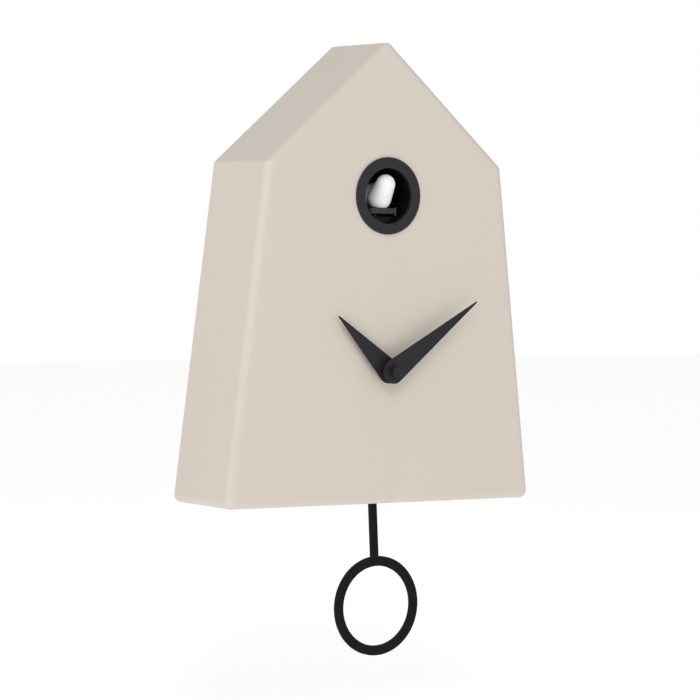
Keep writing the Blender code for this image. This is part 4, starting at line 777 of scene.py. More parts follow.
def softened(
    piece: bpy.types.Object,
    width: float = 0.25 * MM,
    segments: int = 2,
    sharp: float = 32.0,
) -> bpy.types.Object:
    """Rounds a piece's sharp edges a little and evens its shading.

    Args:
        piece: A mesh with no modifiers.
        width: The rounding's width; 0 leaves the edges as they are.
        segments: Steps across the rounding.
        sharp: Edges over this angle, in degrees, are rounded.

    Returns:
        The same object with a plain mesh.
    """
    piece.data.shade_smooth()
    piece.data.set_sharp_from_angle(angle=math.radians(sharp))
    if width:
        edge = piece.modifiers.new("edge", "BEVEL")
        edge.width = width
        edge.segments = segments
        edge.limit_method = "ANGLE"
        edge.angle_limit = math.radians(sharp)
        edge.use_clamp_overlap = True
        edge.miter_outer = "MITER_ARC"
        edge.harden_normals = False
    baked(piece)
    piece.data.shade_smooth()
    piece.data.set_sharp_from_angle(angle=math.radians(max(sharp, 50.0) if width else sharp))
    even = piece.modifiers.new("even", "WEIGHTED_NORMAL")
    even.keep_sharp = True
    even.weight = 80
    return baked(piece)


def cut_by(piece: bpy.types.Object, *tools: bpy.types.Object, how: str = "DIFFERENCE") -> None:
    """Cuts a piece by other shapes, or joins them to it, and removes them.

    Args:
        piece: The mesh that stays.
        tools: The shapes, which are removed.
        how: The Boolean's operation.
    """
    for tool in tools:
        step = piece.modifiers.new("cut", "BOOLEAN")
        step.operation = how
        step.solver = "EXACT"
        step.object = tool
        baked(piece)
        bpy.data.objects.remove(tool)


def lofted(
    name: str, loops: Sequence[Sequence[Point3]], closed: bool = False
) -> bpy.types.Object:
    """A skin over loops of equal length; the two ends are capped unless the loops close.

    Args:
        name: The piece's name.
        loops: Rings of points, each ring in the same direction.
        closed: Whether the last ring joins the first.

    Returns:
        The new object.
    """
    work = bmesh.new()
    rings = [[work.verts.new(point) for point in loop] for loop in loops]
    count = len(rings[0])
    pairs = list(zip(rings, rings[1:])) + ([(rings[-1], rings[0])] if closed else [])
    for low, high in pairs:
        for i in range(count):
            after = (i + 1) % count
            work.faces.new((low[i], low[after], high[after], high[i]))
    if not closed:
        work.faces.new(list(reversed(rings[0])))
        work.faces.new(rings[-1])
    face_out(work)
    return fresh_object(name, work)


def face_out(work: bmesh.types.BMesh) -> None:
    """Turns every face outwards, at a size where small shapes are read right."""
    bmesh.ops.scale(work, vec=(1000, 1000, 1000), verts=work.verts)
    bmesh.ops.recalc_face_normals(work, faces=work.faces)
    bmesh.ops.scale(work, vec=(MM, MM, MM), verts=work.verts)


def lathed(
    name: str, profile: Sequence[Point2], centre: Point2, steps: int = 64
) -> bpy.types.Object:
    """A shape turned about an axis that runs front to back.

    Args:
        name: The piece's name.
        profile: A closed outline of (radius, y) points; a point on the axis has radius 0.
        centre: The axis's x and z.
        steps: Faces round the axis.

    Returns:
        The new object.
    """
    work = bmesh.new()
    columns: list[list[bmesh.types.BMVert]] = []
    poles = {
        k: work.verts.new((centre[0], y, centre[1]))
        for k, (radius, y) in enumerate(profile)
        if radius <= 1e-7
    }
    for i in range(steps):
        angle = 2 * math.pi * i / steps
        column = []
        for k, (radius, y) in enumerate(profile):
            x, z = centre[0] + radius * math.cos(angle), centre[1] + radius * math.sin(angle)
            column.append(poles[k] if k in poles else work.verts.new((x, y, z)))
        columns.append(column)
    for i in range(steps):
        here, there = columns[i], columns[(i + 1) % steps]
        for k in range(len(profile)):
            after = (k + 1) % len(profile)
            corners = [here[k], here[after], there[after], there[k]]
            distinct = list(dict.fromkeys(corners))
            if len(distinct) > 2 and not (k in poles and after in poles):
                work.faces.new(distinct)
    face_out(work)
    return fresh_object(name, work)


def flat_plate(
    name: str,
    outlines: Sequence[Sequence[Point2]],
    y_front: float,
    y_back: float,
) -> bpy.types.Object:
    """A plate with holes, its faces square to the y axis.

    Args:
        name: The piece's name.
        outlines: The outer outline, then those of the holes, as (x, z) points.
        y_front: The face nearest the viewer.
        y_back: The other face.

    Returns:
        The new object.
    """
    work = bmesh.new()
    edges = []
    for outline in outlines:
        ring = [work.verts.new((x * 1000, 0.0, z * 1000)) for x, z in outline]
        edges += [work.edges.new((ring[i - 1], ring[i])) for i in range(len(ring))]
    bmesh.ops.triangle_fill(work, use_beauty=True, use_dissolve=True, edges=edges)
    made = bmesh.ops.extrude_face_region(work, geom=work.faces[:])
    moved = [part for part in made["geom"] if isinstance(part, bmesh.types.BMVert)]
    bmesh.ops.translate(work, verts=moved, vec=(0, (y_back - y_front) * 1000, 0))
    bmesh.ops.recalc_face_normals(work, faces=work.faces)
    bmesh.ops.scale(work, vec=(MM, MM, MM), verts=work.verts)
    bmesh.ops.translate(work, verts=work.verts, vec=(0, y_front, 0))
    return fresh_object(name, work)


def ring_of(radius: float, centre: Point2 = (0.0, 0.0), steps: int = 48) -> list[Point2]:
    """Points round a circle in the x-z plane."""
    angles = [2 * math.pi * i / steps for i in range(steps)]
    return [(centre[0] + radius * math.cos(a), centre[1] + radius * math.sin(a)) for a in angles]


def filleted(corners: Sequence[Point2], radii: Sequence[float], steps: int = 8) -> list[Point2]:
    """A polygon, given counter-clockwise, with its corners rounded.

    Args:
        corners: The sharp corners.
        radii: A radius for each corner.
        steps: Points added along each rounding.

    Returns:
        The rounded outline, with the same number of points for each corner.
    """
    points: list[Point2] = []
    count = len(corners)
    for i, (x, z) in enumerate(corners):
        before, after = corners[i - 1], corners[(i + 1) % count]
        into = math.atan2(z - before[1], x - before[0])
        turn = (math.atan2(after[1] - z, after[0] - x) - into + math.pi) % (2 * math.pi) - math.pi
        reach = radii[i] * math.tan(abs(turn) / 2)
        side = 1 if turn > 0 else -1
        start = (x - reach * math.cos(into), z - reach * math.sin(into))
        middle = (
            start[0] - side * radii[i] * math.sin(into),
            start[1] + side * radii[i] * math.cos(into),
        )
        for k in range(steps + 1):
            angle = into - side * math.pi / 2 + turn * k / steps
            points.append(
                (
                    middle[0] + radii[i] * math.cos(angle),
                    middle[1] + radii[i] * math.sin(angle),
                )
            )
    return points


def box_outline(low: Point2, high: Point2, radius: float, steps: int = 6) -> list[Point2]:
    """A rectangle with round corners, between two corner points."""
    corners = [low, (high[0], low[1]), high, (low[0], high[1])]
    return filleted(corners, [radius] * 4, steps)


def block(name: str, low: Point3, high: Point3) -> bpy.types.Object:
    """A plain box for cutting, or to be softened."""
    outline = [(low[0], low[2]), (high[0], low[2]), (high[0], high[2]), (low[0], high[2])]
    return flat_plate(name, [outline], low[1], high[1])


def rod_along(
    name: str, axis: str, radius: float, low: float, high: float, centre: Point3
) -> bpy.types.Object:
    """A round bar along one axis, for cutting or joining.

    Args:
        name: The piece's name.
        axis: "X", "Y" or "Z".
        radius: The bar's radius.
        low: Where it starts along the axis.
        high: Where it ends.
        centre: A point on its axis.

    Returns:
        The new object.
    """
    first, second, along = {"X": (1, 2, 0), "Y": (2, 0, 1), "Z": (0, 1, 2)}[axis]
    steps = 32
    loops = []
    for end in (low, high):
        loop = []
        for i in range(steps):
            angle = 2 * math.pi * i / steps
            point = [0.0, 0.0, 0.0]
            point[first] = radius * math.cos(angle) + centre[first]
            point[second] = radius * math.sin(angle) + centre[second]
            point[along] = end
            loop.append(tuple(point))
        loops.append(loop)
    return lofted(name, loops)


def copy_of(node: str, name: str, dissolve: float = 1.0) -> bpy.types.Object:
    """A merged copy of a CAD node, its flat areas made whole again.

    Args:
        node: The CAD node.
        name: The new piece's name.
        dissolve: Faces within this many degrees are one flat area.

    Returns:
        The new object.
    """
    work = bmesh.new()
    work.from_mesh(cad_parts[node].data)
    bmesh.ops.remove_doubles(work, verts=work.verts, dist=2e-6)
    bmesh.ops.dissolve_limit(
        work,
        angle_limit=math.radians(dissolve),
        verts=work.verts[:],
        edges=work.edges[:],
    )
    return fresh_object(name, work)


def merged(name: str, pieces: Sequence[bpy.types.Object]) -> bpy.types.Object:
    """Several meshes as one object, the sources removed.

    Args:
        name: The new piece's name.
        pieces: The meshes, which are removed.

    Returns:
        The new object.
    """
    work = bmesh.new()
    for piece in pieces:
        work.from_mesh(piece.data)
        bpy.data.objects.remove(piece)
    return fresh_object(name, work)


def dressed(
    piece: bpy.types.Object,
    finish: Finish,
    body: str,
    nodes: Sequence[str] = (),
) -> bpy.types.Object:
    """Gives a finished piece its material, its body and the nodes it stands for.

    Args:
        piece: A plain mesh in place.
        finish: Its finish.
        body: The body that it rides on.
        nodes: The CAD nodes that it replaces.

    Returns:
        The same object.
    """
    piece.data.materials.clear()
    piece.data.materials.append(finish.material())
    for polygon in piece.data.polygons:
        polygon.material_index = 0
    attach(piece, body)
    if nodes:
        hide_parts(*nodes)
    LOG.info("%s: %d faces on %s", piece.name, len(piece.data.polygons), body)
    return piece


def refined(
    node: str,
    name: str,
    finish: Finish,
    body: str,
    width: float = 0.2 * MM,
    sharp: float = 32.0,
) -> bpy.types.Object:
    """A CAD node's shape with rounded edges and even shading, standing for the node."""
    piece = softened(copy_of(node, name), width, 2, sharp)
    return dressed(piece, finish, body, [node])


# ------------------------------------------------------------------ repeated shapes


class RepeatTree(Graph):
    """A Geometry Nodes tree that repeats a shape along a line or round an axis."""

    def __init__(self, name: str, inputs: dict[str, tuple[str, object]]) -> None:
        """Makes the tree and its named inputs.

        Args:
            name: The tree's name.
            inputs: A socket type and a default for each input.
        """
        tree = bpy.data.node_groups.new(name, "GeometryNodeTree")
        tree.interface.new_socket("Geometry", in_out="OUTPUT", socket_type="NodeSocketGeometry")
        self.identifiers: dict[str, str] = {}
        for label, (kind, default) in inputs.items():
            socket = tree.interface.new_socket(label, in_out="INPUT", socket_type=kind)
            if default is not None:
                socket.default_value = default
            self.identifiers[label] = socket.identifier
        super().__init__(tree)
        self._source = tree.nodes.new("NodeGroupInput")

    def given(self, label: str) -> Value:
        """One of the tree's inputs."""
        return Value(self, self._source.outputs[label])

    def copies(self, points: Value, rotation: Value) -> Value:
        """The tree's Template set on each of the points.

        Args:
            points: Where the copies go.
            rotation: How each is turned.

        Returns:
            The instances.
        """
        shape = self.node(
            "GeometryNodeObjectInfo",
            {"transform_space": "ORIGINAL"},
            {"Object": self.given("Template")},
            "Geometry",
        )
        sockets = {"Points": points, "Instance": shape, "Rotation": rotation}
        return self.node("GeometryNodeInstanceOnPoints", None, sockets)

    def end(self, geometry: Value, finish: Finish) -> None:
        """Ends the tree: instances made real, then the material set.

        Args:
            geometry: The instances.
            finish: Their finish.
        """
        real = self.node("GeometryNodeRealizeInstances", None, {0: geometry})
        painted = self.node(
            "GeometryNodeSetMaterial", None, {"Geometry": real, "Material": finish.material()}
        )
        self.node("NodeGroupOutput", None, {0: painted})

    def made(self, name: str, **sizes: object) -> bpy.types.Object:
        """Runs the tree with the given inputs and returns the plain mesh it makes.

        Args:
            name: The piece's name.
            sizes: A value for each named input.

        Returns:
            The new object.
        """
        holder = fresh_object(name, bmesh.new())
        modifier = holder.modifiers.new("repeat", "NODES")
        modifier.node_group = self.tree
        for label, size in sizes.items():
            modifier[self.identifiers[label]] = size
        return baked(holder)


def copies_on_points(finish: Finish) -> RepeatTree:
    """A tree that sets a template on a row of points, each turned further about the y axis.

    Args:
        finish: The copies' finish.

    Returns:
        The tree: inputs Template, Count, Start, Step, Turn and Turn_Step.
    """
    tree = RepeatTree(
        "copies_in_a_row",
        {
            "Template": ("NodeSocketObject", None),
            "Count": ("NodeSocketInt", 4),
            "Start": ("NodeSocketVector", (0.0, 0.0, 0.0)),
            "Step": ("NodeSocketVector", (0.001, 0.0, 0.0)),
            "Turn": ("NodeSocketFloat", 0.0),
            "Turn_Step": ("NodeSocketFloat", 0.0),
        },
    )
    sockets = {
        "Count": tree.given("Count"),
        "Start Location": tree.given("Start"),
        "Offset": tree.given("Step"),
    }
    line = tree.node("GeometryNodeMeshLine", {"mode": "OFFSET"}, sockets)
    turn = tree.node("GeometryNodeInputIndex") * tree.given("Turn_Step") + tree.given("Turn")
    rotation = tree.node("ShaderNodeCombineXYZ", None, {"Y": turn})
    tree.end(tree.copies(line, rotation), finish)
    return tree


def copies_round_axis(finish: Finish) -> RepeatTree:
    """A tree that sets a template round a circle that faces the front.

    Args:
        finish: The copies' finish.

    Returns:
        The tree: inputs Template, Count, Radius and Centre.
    """
    tree = RepeatTree(
        "copies_round_axis",
        {
            "Template": ("NodeSocketObject", None),
            "Count": ("NodeSocketInt", 24),
            "Radius": ("NodeSocketFloat", 0.005),
            "Centre": ("NodeSocketVector", (0.0, 0.0, 0.0)),
        },
    )
    spots = tree.node(
        "GeometryNodeMeshLine",
        {"mode": "OFFSET"},
        {"Count": tree.given("Count"), "Offset": (0.0, 0.0, 0.0)},
    )
    index = tree.node("GeometryNodeInputIndex")
    angle = index * (2 * math.pi) / tree.given("Count")
    across = tree.node("ShaderNodeMath", {"operation": "COSINE"}, {0: angle}) * tree.given("Radius")
    rise = angle.sine() * tree.given("Radius")
    offset = tree.node("ShaderNodeCombineXYZ", None, {"X": across, "Z": rise})
    spread = tree.node("GeometryNodeSetPosition", None, {"Geometry": spots, "Offset": offset})
    rotation = tree.node("ShaderNodeCombineXYZ", None, {"Y": angle * -1.0})
    placed = tree.copies(spread, rotation)
    sockets = {"Geometry": placed, "Translation": tree.given("Centre")}
    tree.end(tree.node("GeometryNodeTransform", None, sockets), finish)
    return tree


# ------------------------------------------------------------------ where things are


def depth(out: float) -> float:
    """The y of a place this many millimetres out of the front face."""
    return FACE_Y - out * MM


def level(up: float) -> float:
    """The z of a place this many millimetres above the body's underside."""
    return UNDERSIDE_Z + up * MM


def spot(across: float, up: float) -> Point2:
    """A place in the front view, from millimetres to the scene's x and z."""
    return (across * MM, level(up))


def in_metres(outline: Sequence[Point2]) -> list[Point2]:
    """An outline in the front view, from millimetres to the scene's x and z."""
    return [spot(x, y) for x, y in outline]


def painted(node: str, finish: Finish) -> None:
    """Puts a finish on a CAD node that stays as it is.

    Args:
        node: The CAD node.
        finish: Its finish.
    """
    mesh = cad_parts[node].data
    mesh.materials.clear()
    mesh.materials.append(finish.material())
    LOG.info("%s: own shape, %s", node, finish.name)


# ------------------------------------------------------------------ sub-assemblies


@dataclass
class HouseBody:
    """The moulded house: a thin shell with softened edges, open at the back. In millimetres."""

    height: float = 340.0
    shoulder_height: float = 249.5
    shoulder_width: float = 208.5
    base_width: float = 270.6
    body_depth: float = BODY_DEPTH
    wall: float = 2.5
    edge_rounds: tuple[float, ...] = (5.0, 6.0, 5.0, 5.0, 6.0)
    corner_rounds: tuple[float, ...] = (6.0, 6.0, 4.0, 4.0, 4.0)
    rim_chamfer: float = 0.35
    boss_heights: tuple[float, float] = (20.0, 232.0)
    boss_radius: float = 4.5
    boss_end: float = -69.7
    chassis_boss_share: float = 0.8
    chassis_boss_end: float = -26.1
    pilot_radius: float = 1.55
    pilot_depth: float = 9
    boss_chamfer: float = 0.3
    corner_share: float = 0.8
    window_hole: float = 22.5
    shaft_hole: float = 5.3
    slot_half: float = 23
    slot_outs: tuple[float, float] = (-20.4, -29.4)
    sensor_hole: float = 2.8
    sensor_place: tuple[float, float] = (62, -30)
    steps: int = 8

    def half_width(self, up: float) -> float:
        """Half the width at a height below the shoulders."""
        lean = (self.base_width - self.shoulder_width) / 2 / self.shoulder_height
        return self.base_width / 2 - lean * up

    def corners(self, insets: Sequence[float]) -> list[Point2]:
        """The front view's five corners, each side moved in by its own distance.

        Args:
            insets: How far each side is moved in.

        Returns:
            The moved corners.
        """
        half, shoulder = self.base_width / 2, self.shoulder_width / 2
        sharp = [
            (-half, 0.0),
            (half, 0.0),
            (shoulder, self.shoulder_height),
            (0.0, self.height),
            (-shoulder, self.shoulder_height),
        ]
        lines = []
        for i, (x, y) in enumerate(sharp):
            end = sharp[(i + 1) % 5]
            run = Vector((end[0] - x, end[1] - y)).normalized()
            inward = Vector((-run.y, run.x))
            lines.append((Vector((x, y)) + inward * insets[i], run))
        moved = []
        for i in range(5):
            (first, along), (second, other) = lines[i - 1], lines[i]
            gap = second - first
            cross = along.x * other.y - along.y * other.x
            reach = (gap.x * other.y - gap.y * other.x) / cross
            moved.append(tuple(first + along * reach))
        return moved

    def outline(self, inset: float, radius: float) -> list[Point2]:
        """The house's outline moved in evenly, all corners alike, in the scene's x and z."""
        return in_metres(filleted(self.corners([inset] * 5), [radius] * 5, self.steps))

    def ring(self, insets: Sequence[float], outs: Sequence[float], shrink: float) -> list[Point3]:
        """One loop of the skin.

        Args:
            insets: How far each side is moved in.
            outs: How far out of the face each side of the loop lies.
            shrink: How much the corners' radii give up.

        Returns:
            The loop's points.
        """
        radii = [max(radius - shrink, 0.7) for radius in self.corner_rounds]
        flat = filleted(self.corners(insets), radii, self.steps)
        points = []
        for number, (x, y) in enumerate(flat):
            corner, step = divmod(number, self.steps + 1)
            blend = step / self.steps
            out = outs[corner - 1] * (1 - blend) + outs[corner] * blend
            points.append((x * MM, depth(out), level(y)))
        return points

    def skin(self, offset: float) -> list[list[Point3]]:
        """The loops of one skin from the rear to the front face, moved in by the offset.

        Args:
            offset: How far the skin lies inside the outer one.

        Returns:
            The loops.
        """
        rounds = [max(radius - offset, 0.5) for radius in self.edge_rounds]
        loops = []
        for step in range(self.steps + 1):
            angle = math.pi / 2 * step / self.steps
            sunk = [offset + r * (1 - math.cos(angle)) for r in rounds]
            outs = [-offset - r * (1 - math.sin(angle)) for r in rounds]
            loops.append(self.ring(sunk, outs, self.corner_share * sum(sunk) / 5))
        return loops

    def build(self) -> bpy.types.Object:
        """The shell with its bosses and openings, standing for its CAD node.

        Returns:
            The finished piece.
        """
        rear = [-self.body_depth] * 5
        short_of_rear = [-self.body_depth + self.rim_chamfer] * 5
        loops = list(reversed(self.skin(self.wall)))
        loops.append(self.ring([self.wall] * 5, rear, self.corner_share * self.wall))
        loops.append(self.ring([self.rim_chamfer] * 5, rear, 0.0))
        loops.append(self.ring([0.0] * 5, short_of_rear, 0.0))
        loops += self.skin(0.0)
        shell = lofted("house_body", loops)
        self.cut_openings(shell)
        shell = softened(shell, 0.3 * MM, 2, 35)
        fittings = self.bosses()
        whole = merged("house_body", [shell, fittings])
        return dressed(whole, Palette.body, "clock", ["house_shell"])

    def cut_openings(self, shell: bpy.types.Object) -> None:
        """The window, the shaft's hole, the pendulum's slot and the sensor's hole.

        Args:
            shell: The shell to cut.
        """
        near, far = depth(10), depth(-10)
        window_at, shaft_at = (0, 0, level(WINDOW_UP)), (0, 0, level(HANDS_UP))
        window = rod_along("window", "Y", self.window_hole * MM, near, far, window_at)
        shaft = rod_along("shaft", "Y", self.shaft_hole * MM, near, far, shaft_at)
        low, high = level(-3), level(6)
        half = self.slot_half * MM
        front, back = (depth(out) for out in self.slot_outs)
        slot = block("slot", (-half, front, low), (half, back, high))
        sensor_at = (self.sensor_place[0] * MM, depth(self.sensor_place[1]), 0)
        sensor = rod_along("sensor", "Z", self.sensor_hole * MM, low, high, sensor_at)
        cut_by(shell, window, shaft, slot, sensor)

    def bosses(self) -> bpy.types.Object:
        """The screw bosses inside the shell, each a tube from the front wall.

        Returns:
            All six as one object.
        """
        tubes = []
        for up in self.boss_heights:
            across = self.half_width(up) - SCREW_INSET
            for side in (-1, 1):
                tubes.append(self.boss(side * across, up, self.boss_radius, self.boss_end))
        radius = self.boss_radius * self.chassis_boss_share
        for side in (-1, 1):
            across = side * CHASSIS_SCREW_ACROSS
            tubes.append(self.boss(across, CHASSIS_SCREW_UP, radius, self.chassis_boss_end))
        return merged("bosses", tubes)

    def boss(self, across: float, up: float, radius: float, end: float) -> bpy.types.Object:
        """One boss with its pilot hole.

        Args:
            across: Its place across the front view.
            up: Its height.
            radius: Its radius.
            end: How far out its free end lies.

        Returns:
            The new object.
        """
        root = depth(-self.wall / 2)
        profile = [
            (radius * MM, root),
            (radius * MM, depth(end + self.boss_chamfer)),
            ((radius - self.boss_chamfer) * MM, depth(end)),
            (self.pilot_radius * MM, depth(end)),
            (self.pilot_radius * MM, depth(end + self.pilot_depth)),
            (0.0, depth(end + self.pilot_depth)),
            (0.0, root),
        ]
        return softened(lathed("boss", profile, spot(across, up), 28), 0.0)


@dataclass
class RoundWindow:
    """The black ring and tube that the bird slides through. In millimetres."""

    up: float = WINDOW_UP
    radius: float = WINDOW_RADIUS
    flange: float = 28.3
    tube_wall: float = 1.8
    face: float = 1.7
    tube_end: float = -24.0
    sill_top: float = 211.3
    sill_faces: tuple[float, float] = (-11.0, -13.2)

    def build(self) -> bpy.types.Object:
        """The ring, standing for its CAD node.

        Returns:
            The finished piece.
        """
        tube = self.radius + self.tube_wall
        shape = [
            (self.radius, self.tube_end),
            (self.radius, self.face - 0.75),
            (self.radius + 0.2, self.face - 0.35),
            (self.radius + 0.75, self.face - 0.05),
            (self.radius + 1.1, self.face),
            (self.flange - 0.9, self.face),
            (self.flange - 0.45, self.face - 0.1),
            (self.flange - 0.1, self.face - 0.4),
            (self.flange, self.face - 0.8),
            (self.flange, 0.3),
            (tube, 0.3),
            (tube, self.tube_end),
        ]
        profile = [(radius * MM, depth(out)) for radius, out in shape]
        ring = lathed("window_ring", profile, spot(0, self.up), 128)
        cut_by(ring, self.sill(), how="UNION")
        ring = softened(ring, 0.0, sharp=28)
        return dressed(ring, Palette.bezel, "clock", ["window_bezel"])

    def sill(self) -> bpy.types.Object:
        """The low plate across the tube, under the perch.

        Returns:
            The plate, to be joined to the ring.
        """
        reach = self.radius + self.tube_wall / 2
        start = math.asin((self.sill_top - self.up) / reach)
        points = []
        steps = 40
        for i in range(steps + 1):
            angle = start - (math.pi + 2 * start) * i / steps
            points.append(spot(reach * math.cos(angle), self.up + reach * math.sin(angle)))
        front, back = self.sill_faces
        return flat_plate("sill", [points], depth(front), depth(back))


@dataclass
class CuckooBird:
    """The smooth white bird and the carriage that it stands on.

    In millimetres. Each ball is its height, how far out of the face it lies, and its radius.
    """

    perch: float = 217.8
    balls: tuple[tuple[float, float, float], ...] = (
        (235.1, -3.3, 7.2),
        (225.0, -11.0, 9.0),
        (227.0, -20.0, 9.0),
        (230.5, -27.0, 4.4),
    )
    voxel: float = 0.4
    calm: float = 0.5
    calm_rounds: int = 8
    foot_half: float = 20
    foot_outs: tuple[float, float] = (20, -50)
    foot_depth: float = 15

    def stretched(self, name: str, pair: Sequence[tuple[float, float, float]]) -> bpy.types.Object:
        """A hull round two balls.

        Args:
            name: The hull's name.
            pair: The two balls.

        Returns:
            The new object.
        """
        work = bmesh.new()
        for up, out, radius in pair:
            made = bmesh.ops.create_uvsphere(work, u_segments=40, v_segments=24, radius=radius)
            place = (0, FACE_Y / MM - out, level(up) / MM)
            bmesh.ops.translate(work, verts=made["verts"], vec=place)
        bmesh.ops.delete(work, geom=work.edges[:], context="EDGES_FACES")
        bmesh.ops.convex_hull(work, input=work.verts)
        loose = [vert for vert in work.verts if not vert.link_faces]
        bmesh.ops.delete(work, geom=loose, context="VERTS")
        bmesh.ops.recalc_face_normals(work, faces=work.faces)
        bmesh.ops.scale(work, vec=(MM, MM, MM), verts=work.verts)
        return fresh_object(name, work)

    def build_bird(self) -> bpy.types.Object:
        """Head and chest, back and tail, run together and cut level at the foot.

        Returns:
            The finished piece.
        """
        bird = self.stretched("cuckoo_bird", self.balls[:2])
        cut_by(bird, self.stretched("back", self.balls[2:]), how="UNION")
        skin = bird.modifiers.new("skin", "REMESH")
        skin.mode = "VOXEL"
        skin.voxel_size = self.voxel * MM
        skin.use_smooth_shade = True
        calm = bird.modifiers.new("calm", "SMOOTH")
        calm.factor = self.calm
        calm.iterations = self.calm_rounds
        baked(bird)
        half = self.foot_half * MM
        front, back = (depth(out) for out in self.foot_outs)
        bottom = level(self.perch - self.foot_depth)
        foot = block("foot", (-half, front, bottom), (half, back, level(self.perch)))
        cut_by(bird, foot)
        bird.data.shade_smooth()
        bird.data.set_sharp_from_angle(angle=math.radians(40))
        return dressed(bird, Palette.bird, "bird_carriage", ["bird"])

    def build(self) -> None:
        """The bird and its carriage."""
        self.build_bird()
        body = "bird_carriage"
        refined(body, "perch_carriage", Palette.carriage, body, 0.3 * MM)


@dataclass
class Hand:
    """One flat pointed hand. In millimetres, its angle in degrees clockwise from twelve."""

    name: str
    node: str
    body: str
    length: float
    out: float
    angle: float
    bore: float
    axis_up: float = HANDS_UP
    hub: float = 9.0
    thickness: float = 1.2
    tip: float = 0.4

    def turned(self, x: float, y: float) -> Point2:
        """A point of the upright hand at the hand's own angle, in the scene's x and z.

        Args:
            x: Across the upright hand.
            y: Up from its axis.

        Returns:
            The scene's x and z.
        """
        angle = math.radians(self.angle)
        across = x * math.cos(angle) + y * math.sin(angle)
        rise = y * math.cos(angle) - x * math.sin(angle)
        return spot(across, self.axis_up + rise)

    def build(self) -> bpy.types.Object:
        """The hand, standing for its CAD node.

        Returns:
            The finished piece.
        """
        lean = math.asin((self.hub - self.tip) / self.length)
        steps = 56
        outer = []
        for i in range(steps + 1):
            angle = math.pi - lean + (math.pi + 2 * lean) * i / steps
            outer.append(self.turned(self.hub * math.cos(angle), self.hub * math.sin(angle)))
        outer.append(self.turned(self.tip, self.length - self.tip))
        outer.append(self.turned(0.0, self.length))
        outer.append(self.turned(-self.tip, self.length - self.tip))
        hole = ring_of(self.bore * MM, spot(0, self.axis_up), 40)
        front, back = depth(self.out + self.thickness), depth(self.out)
        plate = softened(flat_plate(self.name, [outer, hole], front, back), 0.14 * MM, 2, 40)
        return dressed(plate, Palette.hands, self.body, [self.node])


@dataclass
class HandShaft:
    """What shows round the hand shaft: threaded bush, nut and the minute hand's cap."""

    up: float = HANDS_UP

    def lathe(self, name: str, shape: Sequence[Point2], steps: int = 72) -> bpy.types.Object:
        """A turned piece on the hand axis, from (radius, out) points in millimetres."""
        profile = [(radius * MM, depth(out)) for radius, out in shape]
        return softened(lathed(name, profile, spot(0, self.up), steps), 0.0, sharp=30)

    def cap_shape(self) -> list[Point2]:
        """The cap's section.

        Returns:
            Points of (radius, out).
        """
        return [
            (0.0, 17.3),
            (3.0, 17.3),
            (3.5, 17.2),
            (3.85, 16.95),
            (4.0, 16.5),
            (4.0, 12.5),
            (3.85, 12.3),
            (1.7, 12.3),
            (1.7, 14.8),
            (0.0, 14.8),
        ]

    def bush_shape(self) -> list[Point2]:
        """The bush's section: a thread in front of the case's flange.

        Returns:
            Points of (radius, out).
        """
        thread = []
        crest, root, pitch = 5.0, 4.7, 0.75
        out = 3.75
        while out > 0.4:
            thread += [(crest, out), (root, out - pitch / 2)]
            out -= pitch
        front = [(3.0, 4.2), (4.5, 4.2)]
        rear = [(5.0, 0.2), (5.0, -6.0), (7.5, -6.0), (7.5, -7.0), (3.0, -7.0)]
        return front + thread + rear

    def build(self) -> None:
        """Cap, bush, nut and washer."""
        cap = self.lathe("minute_cap", self.cap_shape())
        dressed(cap, Palette.hands, "minute_hand_and_arbor", ["hand_cap"])
        bush = self.lathe("threaded_bush", self.bush_shape(), 64)
        dressed(bush, Palette.brass, "clock", ["shaft_bush"])
        refined("shaft_nut", "hexagon_nut", Palette.brass, "clock", 0.35 * MM)
        refined("rubber_washer", "seal_washer", Palette.rubber, "clock", 0.2 * MM)
        body = "minute_hand_and_arbor"
        refined("minute_arbor", "minute_shaft", Palette.steel, body, 0.06 * MM)


